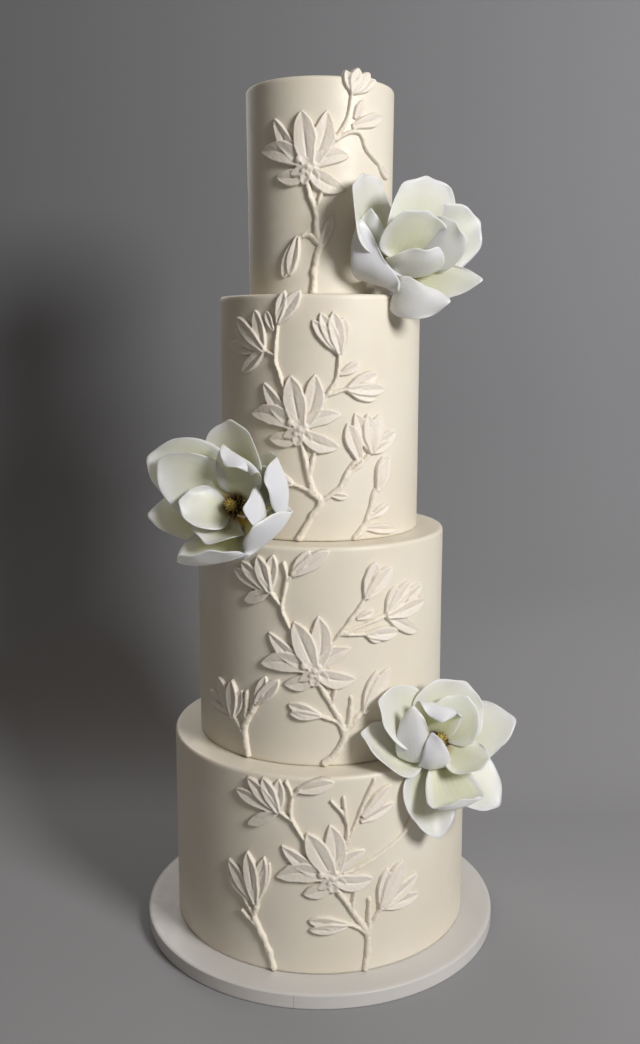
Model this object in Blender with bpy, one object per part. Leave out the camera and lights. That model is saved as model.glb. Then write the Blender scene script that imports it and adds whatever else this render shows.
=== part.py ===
"""A four-tier wedding cake on its drum board: magnolia sprays in relief and three sugar magnolias.

Every length below is in millimetres, and MM turns it into Blender's metres. The cake stands on
the floor at z = 0, its axis is the Z axis, and its front faces -Y.
"""

import math

import bmesh
import bpy
from mathutils import Vector
from mathutils.bvhtree import BVHTree
from mathutils.kdtree import KDTree

MM = 0.001
GAP = 0.3
SHARP_ANGLE = math.radians(40)

# Board and tiers
BOARD_RADIUS = 177.8
BOARD_HEIGHT = 14.4
BOARD_ROUND = 1.6
TIER_ROUND = 4.5
ROUND_STEPS = 3
AROUND = 48
TIERS = (
    # name, foot radius, top radius, height
    ("tier_1", 147.0, 146.2, 190.8),
    ("tier_2", 120.8, 120.6, 202.6),
    ("tier_3", 95.0, 95.0, 218.4),
    ("tier_4", 66.8, 68.4, 184.5),
)

# Relief: how far it stands off the icing, and the share of its triangles that is kept
RELIEF_SUNK = 2.5
RELIEF_GAP = 0.45
KEEP_SHARE = 0.49
CLEAN_ROUNDS = 6
SHORT_EDGE = 0.02
DRAWN_APART = 0.1
STEM_HIGH = 3.2
STEM_WIDE = 2.8
STEM_TOP_SHARE = 0.6
RIM_HIGH = 3.4
GROOVE_LOW = 1.5
LONG_PETAL = 37.0
LONG_ROWS = ((0.0, 0.34), (0.38, 0.88), (0.74, 0.86), (1.0, 0.0))
SHORT_ROWS = ((0.0, 0.34), (0.56, 0.98), (1.0, 0.0))

# The open bloom that every spray carries: length, bearing, width, lift, and bend of each petal
BLOOM = (
    (38, 20, 15, 0.6, 0.10),
    (38, -26, 17, 1.6, -0.10),
    (50, 75, 19, 0.8, -0.08),
    (54, 131, 14, 0.4, 0.06),
    (51, 165, 19, 1.2, -0.10),
    (31, 196, 12, 0.6, 0.14),
    (48, 101, 20, 2.4, 0.0),
    (17, 205, 9, 3.0, 0.0),
    (16, 255, 10, 2.2, 0.0),
    (15, 310, 9, 2.2, 0.0),
)
BLOOM_LAP = 3.0

# Sprays: (arc to the right of the front, height over the tier's foot)
SPRAYS = {
    "spray_4_front": {
        "tier": 3,
        "bloom": ((-10, 108), -4),
        "stems": (
            ((-12, 98), (-9, 84), (-4, 72), (-3, 53), (0, 43), (-4, 28), (-5, 15), (-6, 3)),
            ((-4, 71), (-1, 78), (1, 86)),
            ((-1, 43), (-9, 51), (-20, 49)),
            ((2, 116), (14, 133), (24, 149), (28, 172)),
            ((14, 131), (27, 138), (37, 137), (44, 124), (62, 112)),
        ),
        "petals": (
            ((-19, 50), (-35, 14), 14, 0.4),
            ((-20, 49), (-28, 16), 11, 1.8),
            ((1, 40), (12, 68), 9, 0.6),
            ((28, 170), (22, 189), 9, 0.4),
            ((28, 170), (54, 184), 10, 0.4),
            ((28, 170), (46, 190), 11, 1.2),
            ((28, 170), (34, 193), 12, 2.0),
            ((31, 150), (41, 166), 9, 0.8),
            ((29, 143), (64, 155), 12, 0.4),
            ((60, 113), (76, 104), 10, 0.6),
        ),
    },
    "spray_3_front": {
        "tier": 2,
        "bloom": ((-17, 101), 0),
        "stems": (
            ((-17, 91), (-13, 74), (-7, 48), (1, 37), (-5, 26), (-14, 11), (-19, 3)),
            ((-9, 61), (-5, 80)),
            ((1, 37), (-10, 46), (-27, 53)),
            ((2, 37), (19, 50), (27, 61), (37, 69), (48, 81)),
            ((18, 50), (27, 67), (36, 74)),
            ((-24, 115), (-37, 151), (-40, 165), (-37, 195)),
            ((-40, 165), (-53, 171)),
            ((-2, 112), (6, 131), (15, 147), (17, 170)),
            ((7, 131), (26, 137)),
        ),
        "petals": (
            ((-25, 53), (-58, 66), 13, 0.4),
            ((-25, 52), (-56, 57), 12, 1.6),
            ((36, 72), (24, 106), 15, 1.0),
            ((10, 42), (26, 40), 7, 0.4),
            ((47, 79), (76, 97), 14, 0.4),
            ((47, 79), (68, 88), 10, 1.2),
            ((47, 79), (31, 115), 15, 0.6),
            ((47, 79), (56, 113), 16, 1.2),
            ((47, 79), (43, 114), 14, 2.4),
            ((-37, 193), (-17, 221), 13, 1.0),
            ((-37, 194), (-31, 221), 10, 2.0),
            ((-42, 187), (-49, 204), 8, 0.6),
            ((-51, 170), (-97, 174), 14, 0.4),
            ((-51, 170), (-78, 149), 12, 0.8),
            ((-51, 170), (-61, 205), 13, 0.8),
            ((-51, 170), (-88, 188), 14, 1.6),
            ((-51, 170), (-84, 199), 13, 2.6),
            ((17, 167), (-7, 196), 12, 0.4),
            ((17, 167), (21, 198), 13, 0.6),
            ((17, 167), (0, 202), 13, 1.2),
            ((17, 167), (11, 203), 14, 2.2),
            ((18, 149), (36, 159), 9, 0.6),
            ((24, 136), (53, 127), 13, 0.6),
            ((24, 136), (54, 149), 14, 0.8),
            ((24, 136), (62, 135), 12, 2.0),
        ),
    },
    "spray_3_right": {
        "tier": 2,
        "stems": (
            ((32, 3), (40, 10), (46, 22), (51, 40), (56, 47)),
        ),
        "petals": (
            ((54, 44), (68, 75), 14, 0.6),
            ((54, 44), (60, 75), 11, 1.8),
            ((47, 20), (69, 31), 9, 0.6),
            ((41, 11), (80, 6), 10, 0.4),
        ),
    },
    "spray_2_front": {
        "tier": 1,
        "bloom": ((-4.5, 91), 11.5),
        "stems": (
            ((-3, 82), (7, 64), (14, 51), (23, 30), (19, 20), (11, 8), (4, 3)),
            ((10, 57), (14, 74)),
            ((22, 32), (15, 42), (-2, 49)),
            ((23, 31), (27, 46), (28, 64)),
            ((23, 31), (35, 46), (42, 51)),
            ((-14, 105), (-29, 134), (-34, 149), (-29, 174), (-32, 188)),
            ((-34, 148), (-46, 163)),
            ((-30, 171), (-22, 180)),
            ((4, 104), (18, 125), (37, 150), (42, 160)),
            ((16, 123), (36, 130), (62, 138)),
            ((20, 124), (44, 122)),
        ),
        "petals": (
            ((0, 49), (-29, 58), 12, 0.6),
            ((0, 48), (-28, 50), 10, 1.6),
            ((40, 49), (53, 87), 13, 0.6),
            ((40, 49), (66, 88), 15, 1.6),
            ((-45, 162), (-84, 178), 14, 0.4),
            ((-45, 162), (-72, 149), 12, 0.8),
            ((-45, 162), (-42, 195), 12, 0.6),
            ((-45, 162), (-75, 186), 13, 1.6),
            ((-45, 162), (-57, 193), 14, 2.4),
            ((-24, 178), (-9, 200), 11, 0.8),
            ((-24, 178), (8, 200), 14, 1.8),
            ((41, 156), (51, 188), 15, 0.8),
            ((41, 156), (67, 182), 16, 1.8),
            ((33, 137), (50, 143), 8, 0.6),
            ((62, 137), (73, 164), 13, 0.4),
            ((62, 137), (101, 115), 14, 0.4),
            ((62, 137), (107, 160), 14, 0.8),
            ((62, 137), (89, 166), 14, 1.6),
            ((62, 137), (110, 144), 15, 2.4),
            ((42, 122), (57, 114), 9, 0.4),
            ((42, 122), (75, 120), 13, 1.4),
        ),
    },
    "spray_2_left": {
        "tier": 1,
        "stems": (
            ((-70, 3), (-74, 22), (-72, 34), (-59, 57)),
            ((-74, 22), (-88, 40)),
            ((-72, 38), (-70, 64)),
        ),
        "petals": (
            ((-60, 55), (-50, 82), 11, 0.6),
            ((-60, 55), (-37, 80), 13, 1.6),
            ((-86, 37), (-127, 52), 14, 0.4),
            ((-86, 37), (-76, 64), 12, 0.8),
            ((-86, 37), (-108, 70), 15, 1.2),
            ((-86, 37), (-88, 72), 14, 2.4),
            ((-86, 37), (-124, 40), 11, 2.0),
        ),
    },
    "spray_1_front": {
        "tier": 0,
        "bloom": ((11, 97), 17.5),
        "stems": (
            ((13, 88), (26, 67), (36, 51), (44, 36), (44, 21), (42, 3)),
            ((29, 64), (31, 80)),
            ((42, 39), (30, 48), (20, 49)),
            ((45, 38), (45, 71)),
            ((45, 38), (57, 63)),
            ((-2, 112), (-23, 147), (-26, 160), (-25, 174), (-30, 186)),
            ((-25, 150), (-39, 159)),
            ((-25, 172), (-18, 180)),
            ((18, 110), (24, 132), (23, 152), (10, 169)),
            ((23, 150), (21, 172)),
            ((22, 122), (37, 160), (49, 186)),
            ((22, 100), (40, 106), (74, 124), (87, 137)),
        ),
        "petals": (
            ((24, 50), (-11, 54), 12, 0.6),
            ((24, 48), (-10, 45), 11, 1.6),
            ((56, 61), (99, 63), 14, 0.4),
            ((56, 61), (63, 98), 14, 0.6),
            ((56, 61), (97, 84), 15, 1.4),
            ((56, 61), (79, 102), 16, 2.4),
            ((-37, 158), (-80, 172), 14, 0.4),
            ((-37, 158), (-68, 140), 12, 0.8),
            ((-37, 158), (-37, 188), 12, 0.6),
            ((-37, 158), (-67, 186), 13, 1.6),
            ((-37, 158), (-52, 188), 13, 2.4),
            ((-20, 179), (13, 187), 14, 1.0),
            ((37, 148), (69, 161), 11, 0.6),
            ((38, 153), (66, 179), 12, 1.4),
            ((84, 134), (104, 150), 12, 0.8),
        ),
    },
    "spray_1_left": {
        "tier": 0,
        "stems": (
            ((-43, 3), (-48, 20), (-56, 38), (-62, 50), (-58, 68)),
            ((-61, 50), (-71, 67)),
            ((-58, 42), (-74, 54)),
        ),
        "petals": (
            ((-59, 65), (-89, 86), 13, 0.4),
            ((-59, 65), (-46, 107), 10, 0.4),
            ((-59, 65), (-89, 101), 14, 1.2),
            ((-59, 65), (-51, 112), 13, 1.2),
            ((-59, 65), (-68, 114), 15, 2.4),
        ),
    },
}

# Sugar magnolias: thin wavy petals round a small heart on a wire
PETAL_THICK = 1.5
PETAL_CLAW = 0.11
PETAL_FULL_AT = 0.6
PETAL_END = 0.76
PETAL_SWELL = 1.1
CUP_EASING = 0.3
ROUTE_STEPS = 8
LOOK_AHEAD = 0.02
SUGAR_ROWS = (0.0, 0.2, 0.42, 0.66, 0.86, 1.0)
SUGAR_COLUMNS = 4
OUTER_LEVEL = -3.5
INNER_LEVEL = 3.5
BASE_RADIUS = 8.4
HEART_SIDES = 8
TRIM_GAP = 0.35
WIRE_RADIUS = 2.2
HEART_OUTLINE = (
    # radius, place along the axis
    (WIRE_RADIUS, -7.0),
    (6.4, -4.0),
    (6.8, 0.0),
    (6.4, 6.0),
    (4.2, 9.0),
    (5.0, 15.0),
    (2.4, 21.0),
)

# Each place is (right, up, out) of the flower's heart, square to the way it is seen.
# A petal is its route from the heart, its width, the way its width runs, its cup and its point.
MAGNOLIAS = {
    "magnolia_top": {
        "heart": (72.0, -62.0, 651.0),
        "turn": 4.4,
        "tip": -3.8,
        "axis": (0.62, 0.45, 0.64),
        "wire": 28.5,
        "outer": (
            (((-31, 36, -3), (-38, 79, 2)), 66, None, 0.9, 0.06),
            (((-16, -17, 8), (-32, -1, 22), (-39, 40, 24)), 42, (-0.9, 0.2, -0.25), 1.0, 0.25),
            (((14, 38, -2), (20, 77, 5)), 76, None, 0.9, 0.06),
            (((34, 24, -8), (71, 43, -4)), 62, None, 0.6, 0.08),
            (((-5, -22, 19), (8, -31, 31), (38, -31, 39)), 32, (0.1, 0.9, 0.0), 0.5, 0.15),
            (((26, -14, 3), (46, -12, 9), (71, -12, 16)), 36, (-0.1, -0.95, 0.25), 0.6, 0.25),
        ),
        "inner": (
            (((-11, 14, 4), (-20, 32, 8), (-28, 46, 10)), 28, None, 0.9, 0.25),
            (((20, 17, 8), (49, 37, 22)), 54, None, 1.1, 0.12),
            (((-3, 14, 12), (-5, 34, 25), (2, 40, 35), (8, 33, 41)), 42, (0.84, 0.55, 0), 1.0, 0.15),
            (((9, -7, 12), (13, 4, 28), (11, 15, 40)), 54, (-1, -0.05, 0.1), 1.1, 0.10),
        ),
    },
    "magnolia_left": {
        "heart": (-70.0, -104.0, 441.0),
        "turn": -4.4,
        "tip": 9.2,
        "axis": (-0.45, 0.15, 0.88),
        "wire": 29.0,
        "outer": (
            (((-42, 30, 5), (-80, 46, 16)), 68, None, 0.8, 0.16),
            (((-42, -6, -3), (-83, -5, 3)), 54, None, 0.6, 0.22),
            (((-20, -38, 10), (-26, -50, 28), (-28, -41, 48)), 62, (-1, 0.1, 0), 0.9, 0.08),
            (((26, -26, 8), (36, -24, 28), (26, -20, 48)), 60, (-0.5, -0.85, 0), 1.0, 0.10),
            (((25, 22, -1), (40, 28, 20), (36, 32, 40)), 46, (0.5, -0.86, 0), 1.0, 0.12),
            (((-4, 41, 8), (-7, 77, 18)), 66, None, 1.0, 0.14),
        ),
        "inner": (
            (((-38, 20, 14), (-72, 38, 22)), 58, None, 1.0, 0.16),
            (((-27, -2, 18), (-51, 4, 28)), 44, None, 1.0, 0.15),
            (((-15, -18, 10), (-27, -29, 33)), 52, (-1, 0.17, 0), 1.0, 0.08),
            (((17, -4, 16), (16, 0, 34), (10, 2, 50)), 44, (0.1, -1, 0), 1.1, 0.15),
            (((20, 17, 4), (25, 38, 22)), 30, (1, -0.3, 0), 0.8, 0.2),
            (((2, 16, 12), (3, 36, 26), (0, 42, 36), (-5, 35, 44)), 50, (0.85, -0.5, 0), 1.0, 0.12),
        ),
    },
    "magnolia_right": {
        "heart": (104.0, -104.0, 219.0),
        "turn": 6.2,
        "tip": 21.5,
        "axis": (0.25, 0.35, 0.9),
        "wire": 16.5,
        "outer": (
            (((-24, 26, 12), (-49, 44, 25)), 60, None, 0.8, 0.16),
            (((14, 28, 1), (31, 58, 9)), 72, None, 1.0, 0.12),
            (((38, 12, -5), (82, 28, -1)), 64, None, 0.6, 0.2),
            (((28, -28, -4), (58, -56, 0)), 66, None, 0.6, 0.14),
            (((-5, -44, -3), (5, -82, -8)), 58, None, 0.7, 0.2),
            (((-34, -8, 6), (-65, 5, 22)), 52, None, 1.0, 0.14),
        ),
        "inner": (
            (((-18, -8, 15), (-27, 8, 32), (-25, 36, 38)), 38, (-1, 0, -0.3), 1.0, 0.14),
            (((2, 16, 10), (4, 36, 22), (4, 38, 32), (4, 27, 38)), 44, (1, -0.35, 0), 1.0, 0.14),
            (((18, 20, 8), (30, 44, 16)), 52, None, 1.1, 0.14),
            (((-4, -20, 12), (-4, -10, 28), (-8, 12, 36)), 26, (-1, 0, 0), 1.0, 0.2),
            (((26, -14, 14), (46, -15, 26)), 44, None, 1.0, 0.12),
            (((8, -27, 7), (16, -52, 20)), 52, None, 0.9, 0.14),
        ),
    },
}

# Materials: colour, roughness
ICING = ((0.78, 0.69, 0.57), 0.55)
RELIEF = ((0.74, 0.62, 0.50), 0.60)
BOARD_WHITE = ((0.66, 0.62, 0.56), 0.45)
SUGAR_WHITE = ((0.80, 0.80, 0.74), 0.50)
HEART_BROWN = ((0.30, 0.17, 0.04), 0.60)


def material(name, look):
    """A plain Principled material of one colour."""
    found = bpy.data.materials.get(name)
    if found:
        return found
    made = bpy.data.materials.new(name)
    made.use_nodes = True
    shader = made.node_tree.nodes["Principled BSDF"]
    shader.inputs["Base Color"].default_value = (*look[0], 1.0)
    shader.inputs["Roughness"].default_value = look[1]
    shader.inputs["Metallic"].default_value = 0.0
    return made


def make_object(name, points, faces, look_name, look):
    """A mesh object of points in millimetres, its faces turned outwards and its edges sharp."""
    mesh = bpy.data.meshes.new(name)
    mesh.from_pydata([Vector(point) * MM for point in points], [], faces)
    shape = bmesh.new()
    shape.from_mesh(mesh)
    bmesh.ops.recalc_face_normals(shape, faces=shape.faces)
    shape.to_mesh(mesh)
    shape.free()
    mesh.shade_smooth()
    mesh.set_sharp_from_angle(angle=SHARP_ANGLE)
    mesh.materials.append(material(look_name, look))
    made = bpy.data.objects.new(name, mesh)
    bpy.context.scene.collection.objects.link(made)
    return made


def tier_foot(index):
    """Height of a tier's foot: the board or the tier below, and the gap between the two."""
    foot = BOARD_HEIGHT + GAP
    for _, _, _, height in TIERS[:index]:
        foot += height + GAP
    return foot


def tier_radius(index, height):
    """A tier's radius at a height over its foot."""
    _, foot_radius, top_radius, full = TIERS[index]
    share = min(max(height / full, 0.0), 1.0)
    return foot_radius + (top_radius - foot_radius) * share


def turned(name, outline, look_name, look):
    """A solid turned round the Z axis from an outline of (radius, height), foot to top."""
    points = []
    for radius, height in outline:
        for step in range(AROUND):
            angle = 2 * math.pi * step / AROUND
            points.append((radius * math.sin(angle), -radius * math.cos(angle), height))
    faces = []
    for ring in range(len(outline) - 1):
        for step in range(AROUND):
            following = (step + 1) % AROUND
            low, high = ring * AROUND, (ring + 1) * AROUND
            faces.append((low + step, low + following, high + following, high + step))
    faces.append(tuple(range(AROUND)))
    last = (len(outline) - 1) * AROUND
    faces.append(tuple(range(last, last + AROUND)))
    return make_object(name, points, faces, look_name, look)


def tier_outline(index, grow=0.0):
    """A tier's side from foot to top with its rounded top edge; grow makes it larger all round."""
    _, foot_radius, top_radius, height = TIERS[index]
    foot = tier_foot(index)
    outline = [(foot_radius + grow, foot - grow)]
    for step in range(ROUND_STEPS + 1):
        angle = math.pi / 2 * step / ROUND_STEPS
        radius = top_radius - TIER_ROUND + (TIER_ROUND + grow) * math.cos(angle)
        level = foot + height - TIER_ROUND + (TIER_ROUND + grow) * math.sin(angle)
        outline.append((radius, level))
    return outline


def make_board():
    """The cake drum: a thick round board with softly rounded edges."""
    outline = [
        (BOARD_RADIUS - BOARD_ROUND, 0.0),
        (BOARD_RADIUS, BOARD_ROUND),
        (BOARD_RADIUS, BOARD_HEIGHT - BOARD_ROUND),
        (BOARD_RADIUS - BOARD_ROUND, BOARD_HEIGHT),
    ]
    turned("board", outline, "board_white", BOARD_WHITE)


def on_tier(index, across, height, out):
    """The place of a point on a tier's side: arc right of the front, height, and how far out."""
    angle = across / tier_radius(index, TIERS[index][3])
    radius = tier_radius(index, height) + out
    return (radius * math.sin(angle), -radius * math.cos(angle), tier_foot(index) + height)


def smooth_path(route, steps):
    """Points of a smooth curve through the route's places, steps to each stretch."""
    places = [Vector(place) for place in route]
    padded = [places[0] * 2 - places[1]] + places + [places[-1] * 2 - places[-2]]
    path = []
    for index in range(1, len(padded) - 2):
        before, start, end, after = padded[index - 1:index + 3]
        for step in range(steps):
            share = step / steps
            bend = 2 * before - 5 * start + 4 * end - after
            turn = 3 * start - before - 3 * end + after
            path.append(start + ((end - before) * share + bend * share ** 2 + turn * share ** 3) / 2)
    path.append(places[-1])
    return path


def relief_stem(index, route):
    """One stem: a low rounded ridge whose underside is sunk in the tier."""
    path = [Vector((*place, 0)) for place in route]
    flat = STEM_TOP_SHARE
    section = ((-1, -RELIEF_SUNK), (-flat, STEM_HIGH), (flat, STEM_HIGH), (1, -RELIEF_SUNK))
    points = []
    for step, place in enumerate(path):
        ahead = path[min(step + 1, len(path) - 1)] - path[max(step - 1, 0)]
        aside = Vector((-ahead.y, ahead.x, 0)).normalized()
        for across, out in section:
            spot = place + aside * across * STEM_WIDE
            points.append(on_tier(index, spot.x, spot.y, out))
    faces = [(0, 1, 2, 3), tuple(range(len(points) - 4, len(points)))]
    for step in range(len(path) - 1):
        for corner in range(4):
            following = (corner + 1) % 4
            low, high = step * 4, step * 4 + 4
            faces.append((low + corner, low + following, high + following, high + corner))
    return points, faces


def relief_petal(index, base, end, width, lift, bend=0.0):
    """One petal or leaf: two raised rims and a groove between them, its underside sunk in the tier."""
    base, end = Vector(base), Vector(end)
    along = end - base
    aside = Vector((-along.y, along.x)).normalized()
    outline = LONG_ROWS if along.length > LONG_PETAL else SHORT_ROWS
    points = []
    for share, spread in outline:
        place = base + along * share + aside * bend * along.length * 4 * share * (1 - share)
        half = width / 2 * spread
        rise = lift * (1 - 0.5 * share)
        if share == 1.0:
            points.append(on_tier(index, place.x, place.y, GROOVE_LOW + lift / 2))
            points.append(on_tier(index, place.x, place.y, -RELIEF_SUNK))
            continue
        for across, out in ((-1, -RELIEF_SUNK), (-1, RIM_HIGH + rise), (0, GROOVE_LOW + rise),
                            (1, RIM_HIGH + rise), (1, -RELIEF_SUNK)):
            spot = place + aside * across * half
            points.append(on_tier(index, spot.x, spot.y, out))
    faces = [(0, 1, 2, 3, 4)]
    rows = len(outline) - 1
    for row in range(rows - 1):
        low, high = row * 5, row * 5 + 5
        for corner in range(5):
            following = (corner + 1) % 5
            faces.append((low + corner, low + following, high + following, high + corner))
    low = (rows - 1) * 5
    top, bottom = rows * 5, rows * 5 + 1
    faces += [(low, low + 1, top, bottom), (low + 1, low + 2, top), (low + 2, low + 3, top),
              (low + 3, low + 4, bottom, top), (low + 4, low, bottom)]
    return points, faces


def bloom_petals(centre, turn):
    """The open bloom's petals, turned round its centre."""
    petals = []
    for length, bearing, width, lift, bend in BLOOM:
        way = math.radians(bearing + turn)
        ahead = Vector((math.cos(way), math.sin(way)))
        start = Vector(centre) - ahead * BLOOM_LAP
        petals.append((tuple(start), tuple(Vector(centre) + ahead * length), width, lift, bend))
    return petals


def fuse(name, solids, cutter, look_name, look):
    """Join solids into one closed body less what is inside the cutter, as one object.

    The exact solver leaves open scraps where so many stems and petals cross, so both steps are
    made by the manifold solver.
    """
    gathered = bpy.data.collections.new(name + "_solids")
    bpy.context.scene.collection.children.link(gathered)
    first = None
    for number, (points, faces) in enumerate(solids):
        piece = make_object(name + "_" + str(number), points, faces, look_name, look)
        if first is None:
            first = piece
            continue
        bpy.context.scene.collection.objects.unlink(piece)
        gathered.objects.link(piece)
    join = first.modifiers.new("join", "BOOLEAN")
    join.operation = "UNION"
    join.operand_type = "COLLECTION"
    join.collection = gathered
    join.solver = "MANIFOLD"
    cut = first.modifiers.new("cut", "BOOLEAN")
    cut.operation = "DIFFERENCE"
    cut.object = cutter
    cut.solver = "MANIFOLD"
    fewer = first.modifiers.new("fewer", "DECIMATE")
    fewer.ratio = KEEP_SHARE
    shaped = first.evaluated_get(bpy.context.evaluated_depsgraph_get())
    mesh = bpy.data.meshes.new_from_object(shaped)
    mesh.name = name
    for piece in list(gathered.objects) + [first, cutter]:
        bpy.data.objects.remove(piece)
    bpy.data.collections.remove(gathered)
    made = bpy.data.objects.new(name, mesh)
    bpy.context.scene.collection.objects.link(made)
    clean(mesh)
    return made


def largest_body(shape):
    """Delete every body of a bmesh but the one with the most faces."""
    waiting = set(shape.faces)
    bodies = []
    while waiting:
        body = [waiting.pop()]
        for face in body:
            near = {other for edge in face.edges for other in edge.link_faces} & waiting
            waiting -= near
            body.extend(near)
        bodies.append(body)
    for body in sorted(bodies, key=len)[:-1]:
        bmesh.ops.delete(shape, geom=body, context="FACES")


def draw_apart(shape):
    """Sink one of each two corners that meet by chance a little way into the body."""
    nearby = KDTree(len(shape.verts))
    for vert in shape.verts:
        nearby.insert(vert.co, vert.index)
    nearby.balance()
    shape.verts.ensure_lookup_table()
    for vert in shape.verts:
        for _, other, _ in nearby.find_range(vert.co, SHORT_EDGE * MM):
            if other > vert.index:
                shape.verts[other].co -= shape.verts[other].normal * DRAWN_APART * MM


def clean(mesh):
    """Make a fused mesh one closed body of triangles again, and shade it."""
    shape = bmesh.new()
    shape.from_mesh(mesh)
    largest_body(shape)
    for _ in range(CLEAN_ROUNDS):
        bmesh.ops.triangulate(shape, faces=shape.faces)
        loose = [edge for edge in shape.edges
                 if len(edge.link_faces) != 2 or edge.calc_length() < SHORT_EDGE * MM]
        if not loose:
            break
        bmesh.ops.collapse(shape, edges=loose)
        stray = [vert for vert in shape.verts if not vert.link_faces]
        bmesh.ops.delete(shape, geom=stray, context="VERTS")
    shape.verts.index_update()
    shape.normal_update()
    draw_apart(shape)
    if any(len(edge.link_faces) != 2 for edge in shape.edges):
        raise RuntimeError(mesh.name + " isn't one closed body")
    shape.to_mesh(mesh)
    shape.free()
    mesh.shade_smooth()
    mesh.set_sharp_from_angle(angle=SHARP_ANGLE)


def make_spray(name, plan):
    """One spray in relief: its stems, leaves, buds and bloom in one piece."""
    index = plan["tier"]
    solids = [relief_stem(index, route) for route in plan["stems"]]
    for base, end, width, lift in plan["petals"]:
        solids.append(relief_petal(index, base, end, width, lift))
    if "bloom" in plan:
        for petal in bloom_petals(*plan["bloom"]):
            solids.append(relief_petal(index, *petal))
    cutter = turned("cutter", tier_outline(index, RELIEF_GAP), "relief", RELIEF)
    fuse(name, solids, cutter, "relief", RELIEF)


def seen_frame(turn, tip):
    """The three directions right, up and out of a flower, from its turn about Z and its tip upwards."""
    turn, tip = math.radians(turn), math.radians(tip)
    right = Vector((math.cos(turn), math.sin(turn), 0.0))
    level = Vector((math.sin(turn), -math.cos(turn), 0.0))
    out = level * math.cos(tip) + Vector((0, 0, 1)) * math.sin(tip)
    return right, out.cross(right), out


def spread(share, width):
    """Half of a sugar petal's width at a share of its length: narrow claw, full middle, rounded end."""
    if share < PETAL_FULL_AT:
        grown = math.sin(math.pi / 2 * share / PETAL_FULL_AT) ** PETAL_SWELL
        return width / 2 * (PETAL_CLAW + (1 - PETAL_CLAW) * grown)
    past = (share - PETAL_FULL_AT) / (1 - PETAL_FULL_AT)
    return width / 2 * (1 - (1 - PETAL_END) * past ** 2)


def along_path(path, share):
    """The point at a share of an evenly stepped path."""
    place = share * (len(path) - 1)
    low = min(int(place), len(path) - 2)
    return path[low].lerp(path[low + 1], place - low)


def petal_sheet(axis, spec, level):
    """The middle surface of one sugar petal as rows of points, in the flower's own directions."""
    route, width, side, cup, point = spec
    first = Vector(route[0])
    radial = (first - axis * first.dot(axis)).normalized()
    base = radial * BASE_RADIUS + axis * level
    path = smooth_path([base] + [Vector(place) for place in route], ROUTE_STEPS)
    side = Vector(side) if side else (first - base).cross(axis)
    sheet = []
    for share in SUGAR_ROWS:
        row = []
        for column in range(SUGAR_COLUMNS + 1):
            across = 2 * column / SUGAR_COLUMNS - 1
            reach = share * (1 - point * across ** 2)
            after = along_path(path, min(reach + LOOK_AHEAD, 1))
            before = along_path(path, max(reach - LOOK_AHEAD, 0))
            ahead = (after - before).normalized()
            aside = (side - ahead * side.dot(ahead)).normalized()
            inward = aside.cross(ahead)
            half = spread(share, width)
            turn = cup * (1 - CUP_EASING * share)
            bow = 2 * half / turn
            spot = along_path(path, reach)
            spot = spot + aside * bow * math.sin(across * turn / 2)
            spot = spot + inward * bow * (1 - math.cos(across * turn / 2))
            row.append(spot)
        sheet.append(row)
    return sheet


def thicken(sheet, thick):
    """A closed solid round a sheet of points: its two faces split alike, and a rim."""
    rows, columns = len(sheet), len(sheet[0])
    points = []
    for face_side in (1, -1):
        for row in range(rows):
            for column in range(columns):
                ahead = sheet[min(row + 1, rows - 1)][column] - sheet[max(row - 1, 0)][column]
                aside = sheet[row][min(column + 1, columns - 1)] - sheet[row][max(column - 1, 0)]
                points.append(sheet[row][column] + aside.cross(ahead).normalized() * thick / 2 * face_side)
    faces = []
    back = rows * columns
    for row in range(rows - 1):
        for column in range(columns - 1):
            corner = row * columns + column
            square = (corner, corner + 1, corner + columns + 1, corner + columns)
            faces += [square[:3], (square[0], square[2], square[3])]
            other = [spot + back for spot in square]
            faces += [(other[2], other[1], other[0]), (other[3], other[2], other[0])]
    rim = [column for column in range(columns)]
    rim += [row * columns + columns - 1 for row in range(1, rows)]
    rim += [(rows - 1) * columns + column for column in range(columns - 2, -1, -1)]
    rim += [row * columns for row in range(rows - 2, 0, -1)]
    for step, spot in enumerate(rim):
        following = rim[(step + 1) % len(rim)]
        faces.append((spot, following, following + back, spot + back))
    return points, faces


def make_heart(name, heart, frame, axis, wire):
    """A flower's heart: the wire it stands on, the knob that the petals leave, and the cone in its middle."""
    ahead = frame[0] * axis.x + frame[1] * axis.y + frame[2] * axis.z
    aside = ahead.orthogonal().normalized()
    across = ahead.cross(aside)
    outline = [(WIRE_RADIUS, -wire)] + list(HEART_OUTLINE)
    points = []
    for radius, place in outline:
        for step in range(HEART_SIDES):
            angle = 2 * math.pi * step / HEART_SIDES
            way = aside * math.cos(angle) + across * math.sin(angle)
            points.append(heart + ahead * place + way * radius)
    faces = [tuple(range(HEART_SIDES)), tuple(range(len(points) - HEART_SIDES, len(points)))]
    for ring in range(len(outline) - 1):
        for step in range(HEART_SIDES):
            following = (step + 1) % HEART_SIDES
            low, high = ring * HEART_SIDES, (ring + 1) * HEART_SIDES
            faces.append((low + step, low + following, high + following, high + step))
    return make_object(name + "_heart", points, faces, "heart_brown", HEART_BROWN)


def search_tree(thing):
    """The object's faces in a tree that finds what crosses them."""
    corners = [vert.co for vert in thing.data.vertices]
    return BVHTree.FromPolygons(corners, [tuple(face.vertices) for face in thing.data.polygons])


def grown_copy(thing, gap):
    """A cutter: the same solid, larger by the gap on every side."""
    made = thing.copy()
    made.data = thing.data.copy()
    for vert, normal in zip(made.data.vertices, thing.data.vertex_normals):
        vert.co += normal.vector * gap * MM
    made.hide_render = True
    made.display_type = "WIRE"
    return made


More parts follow.
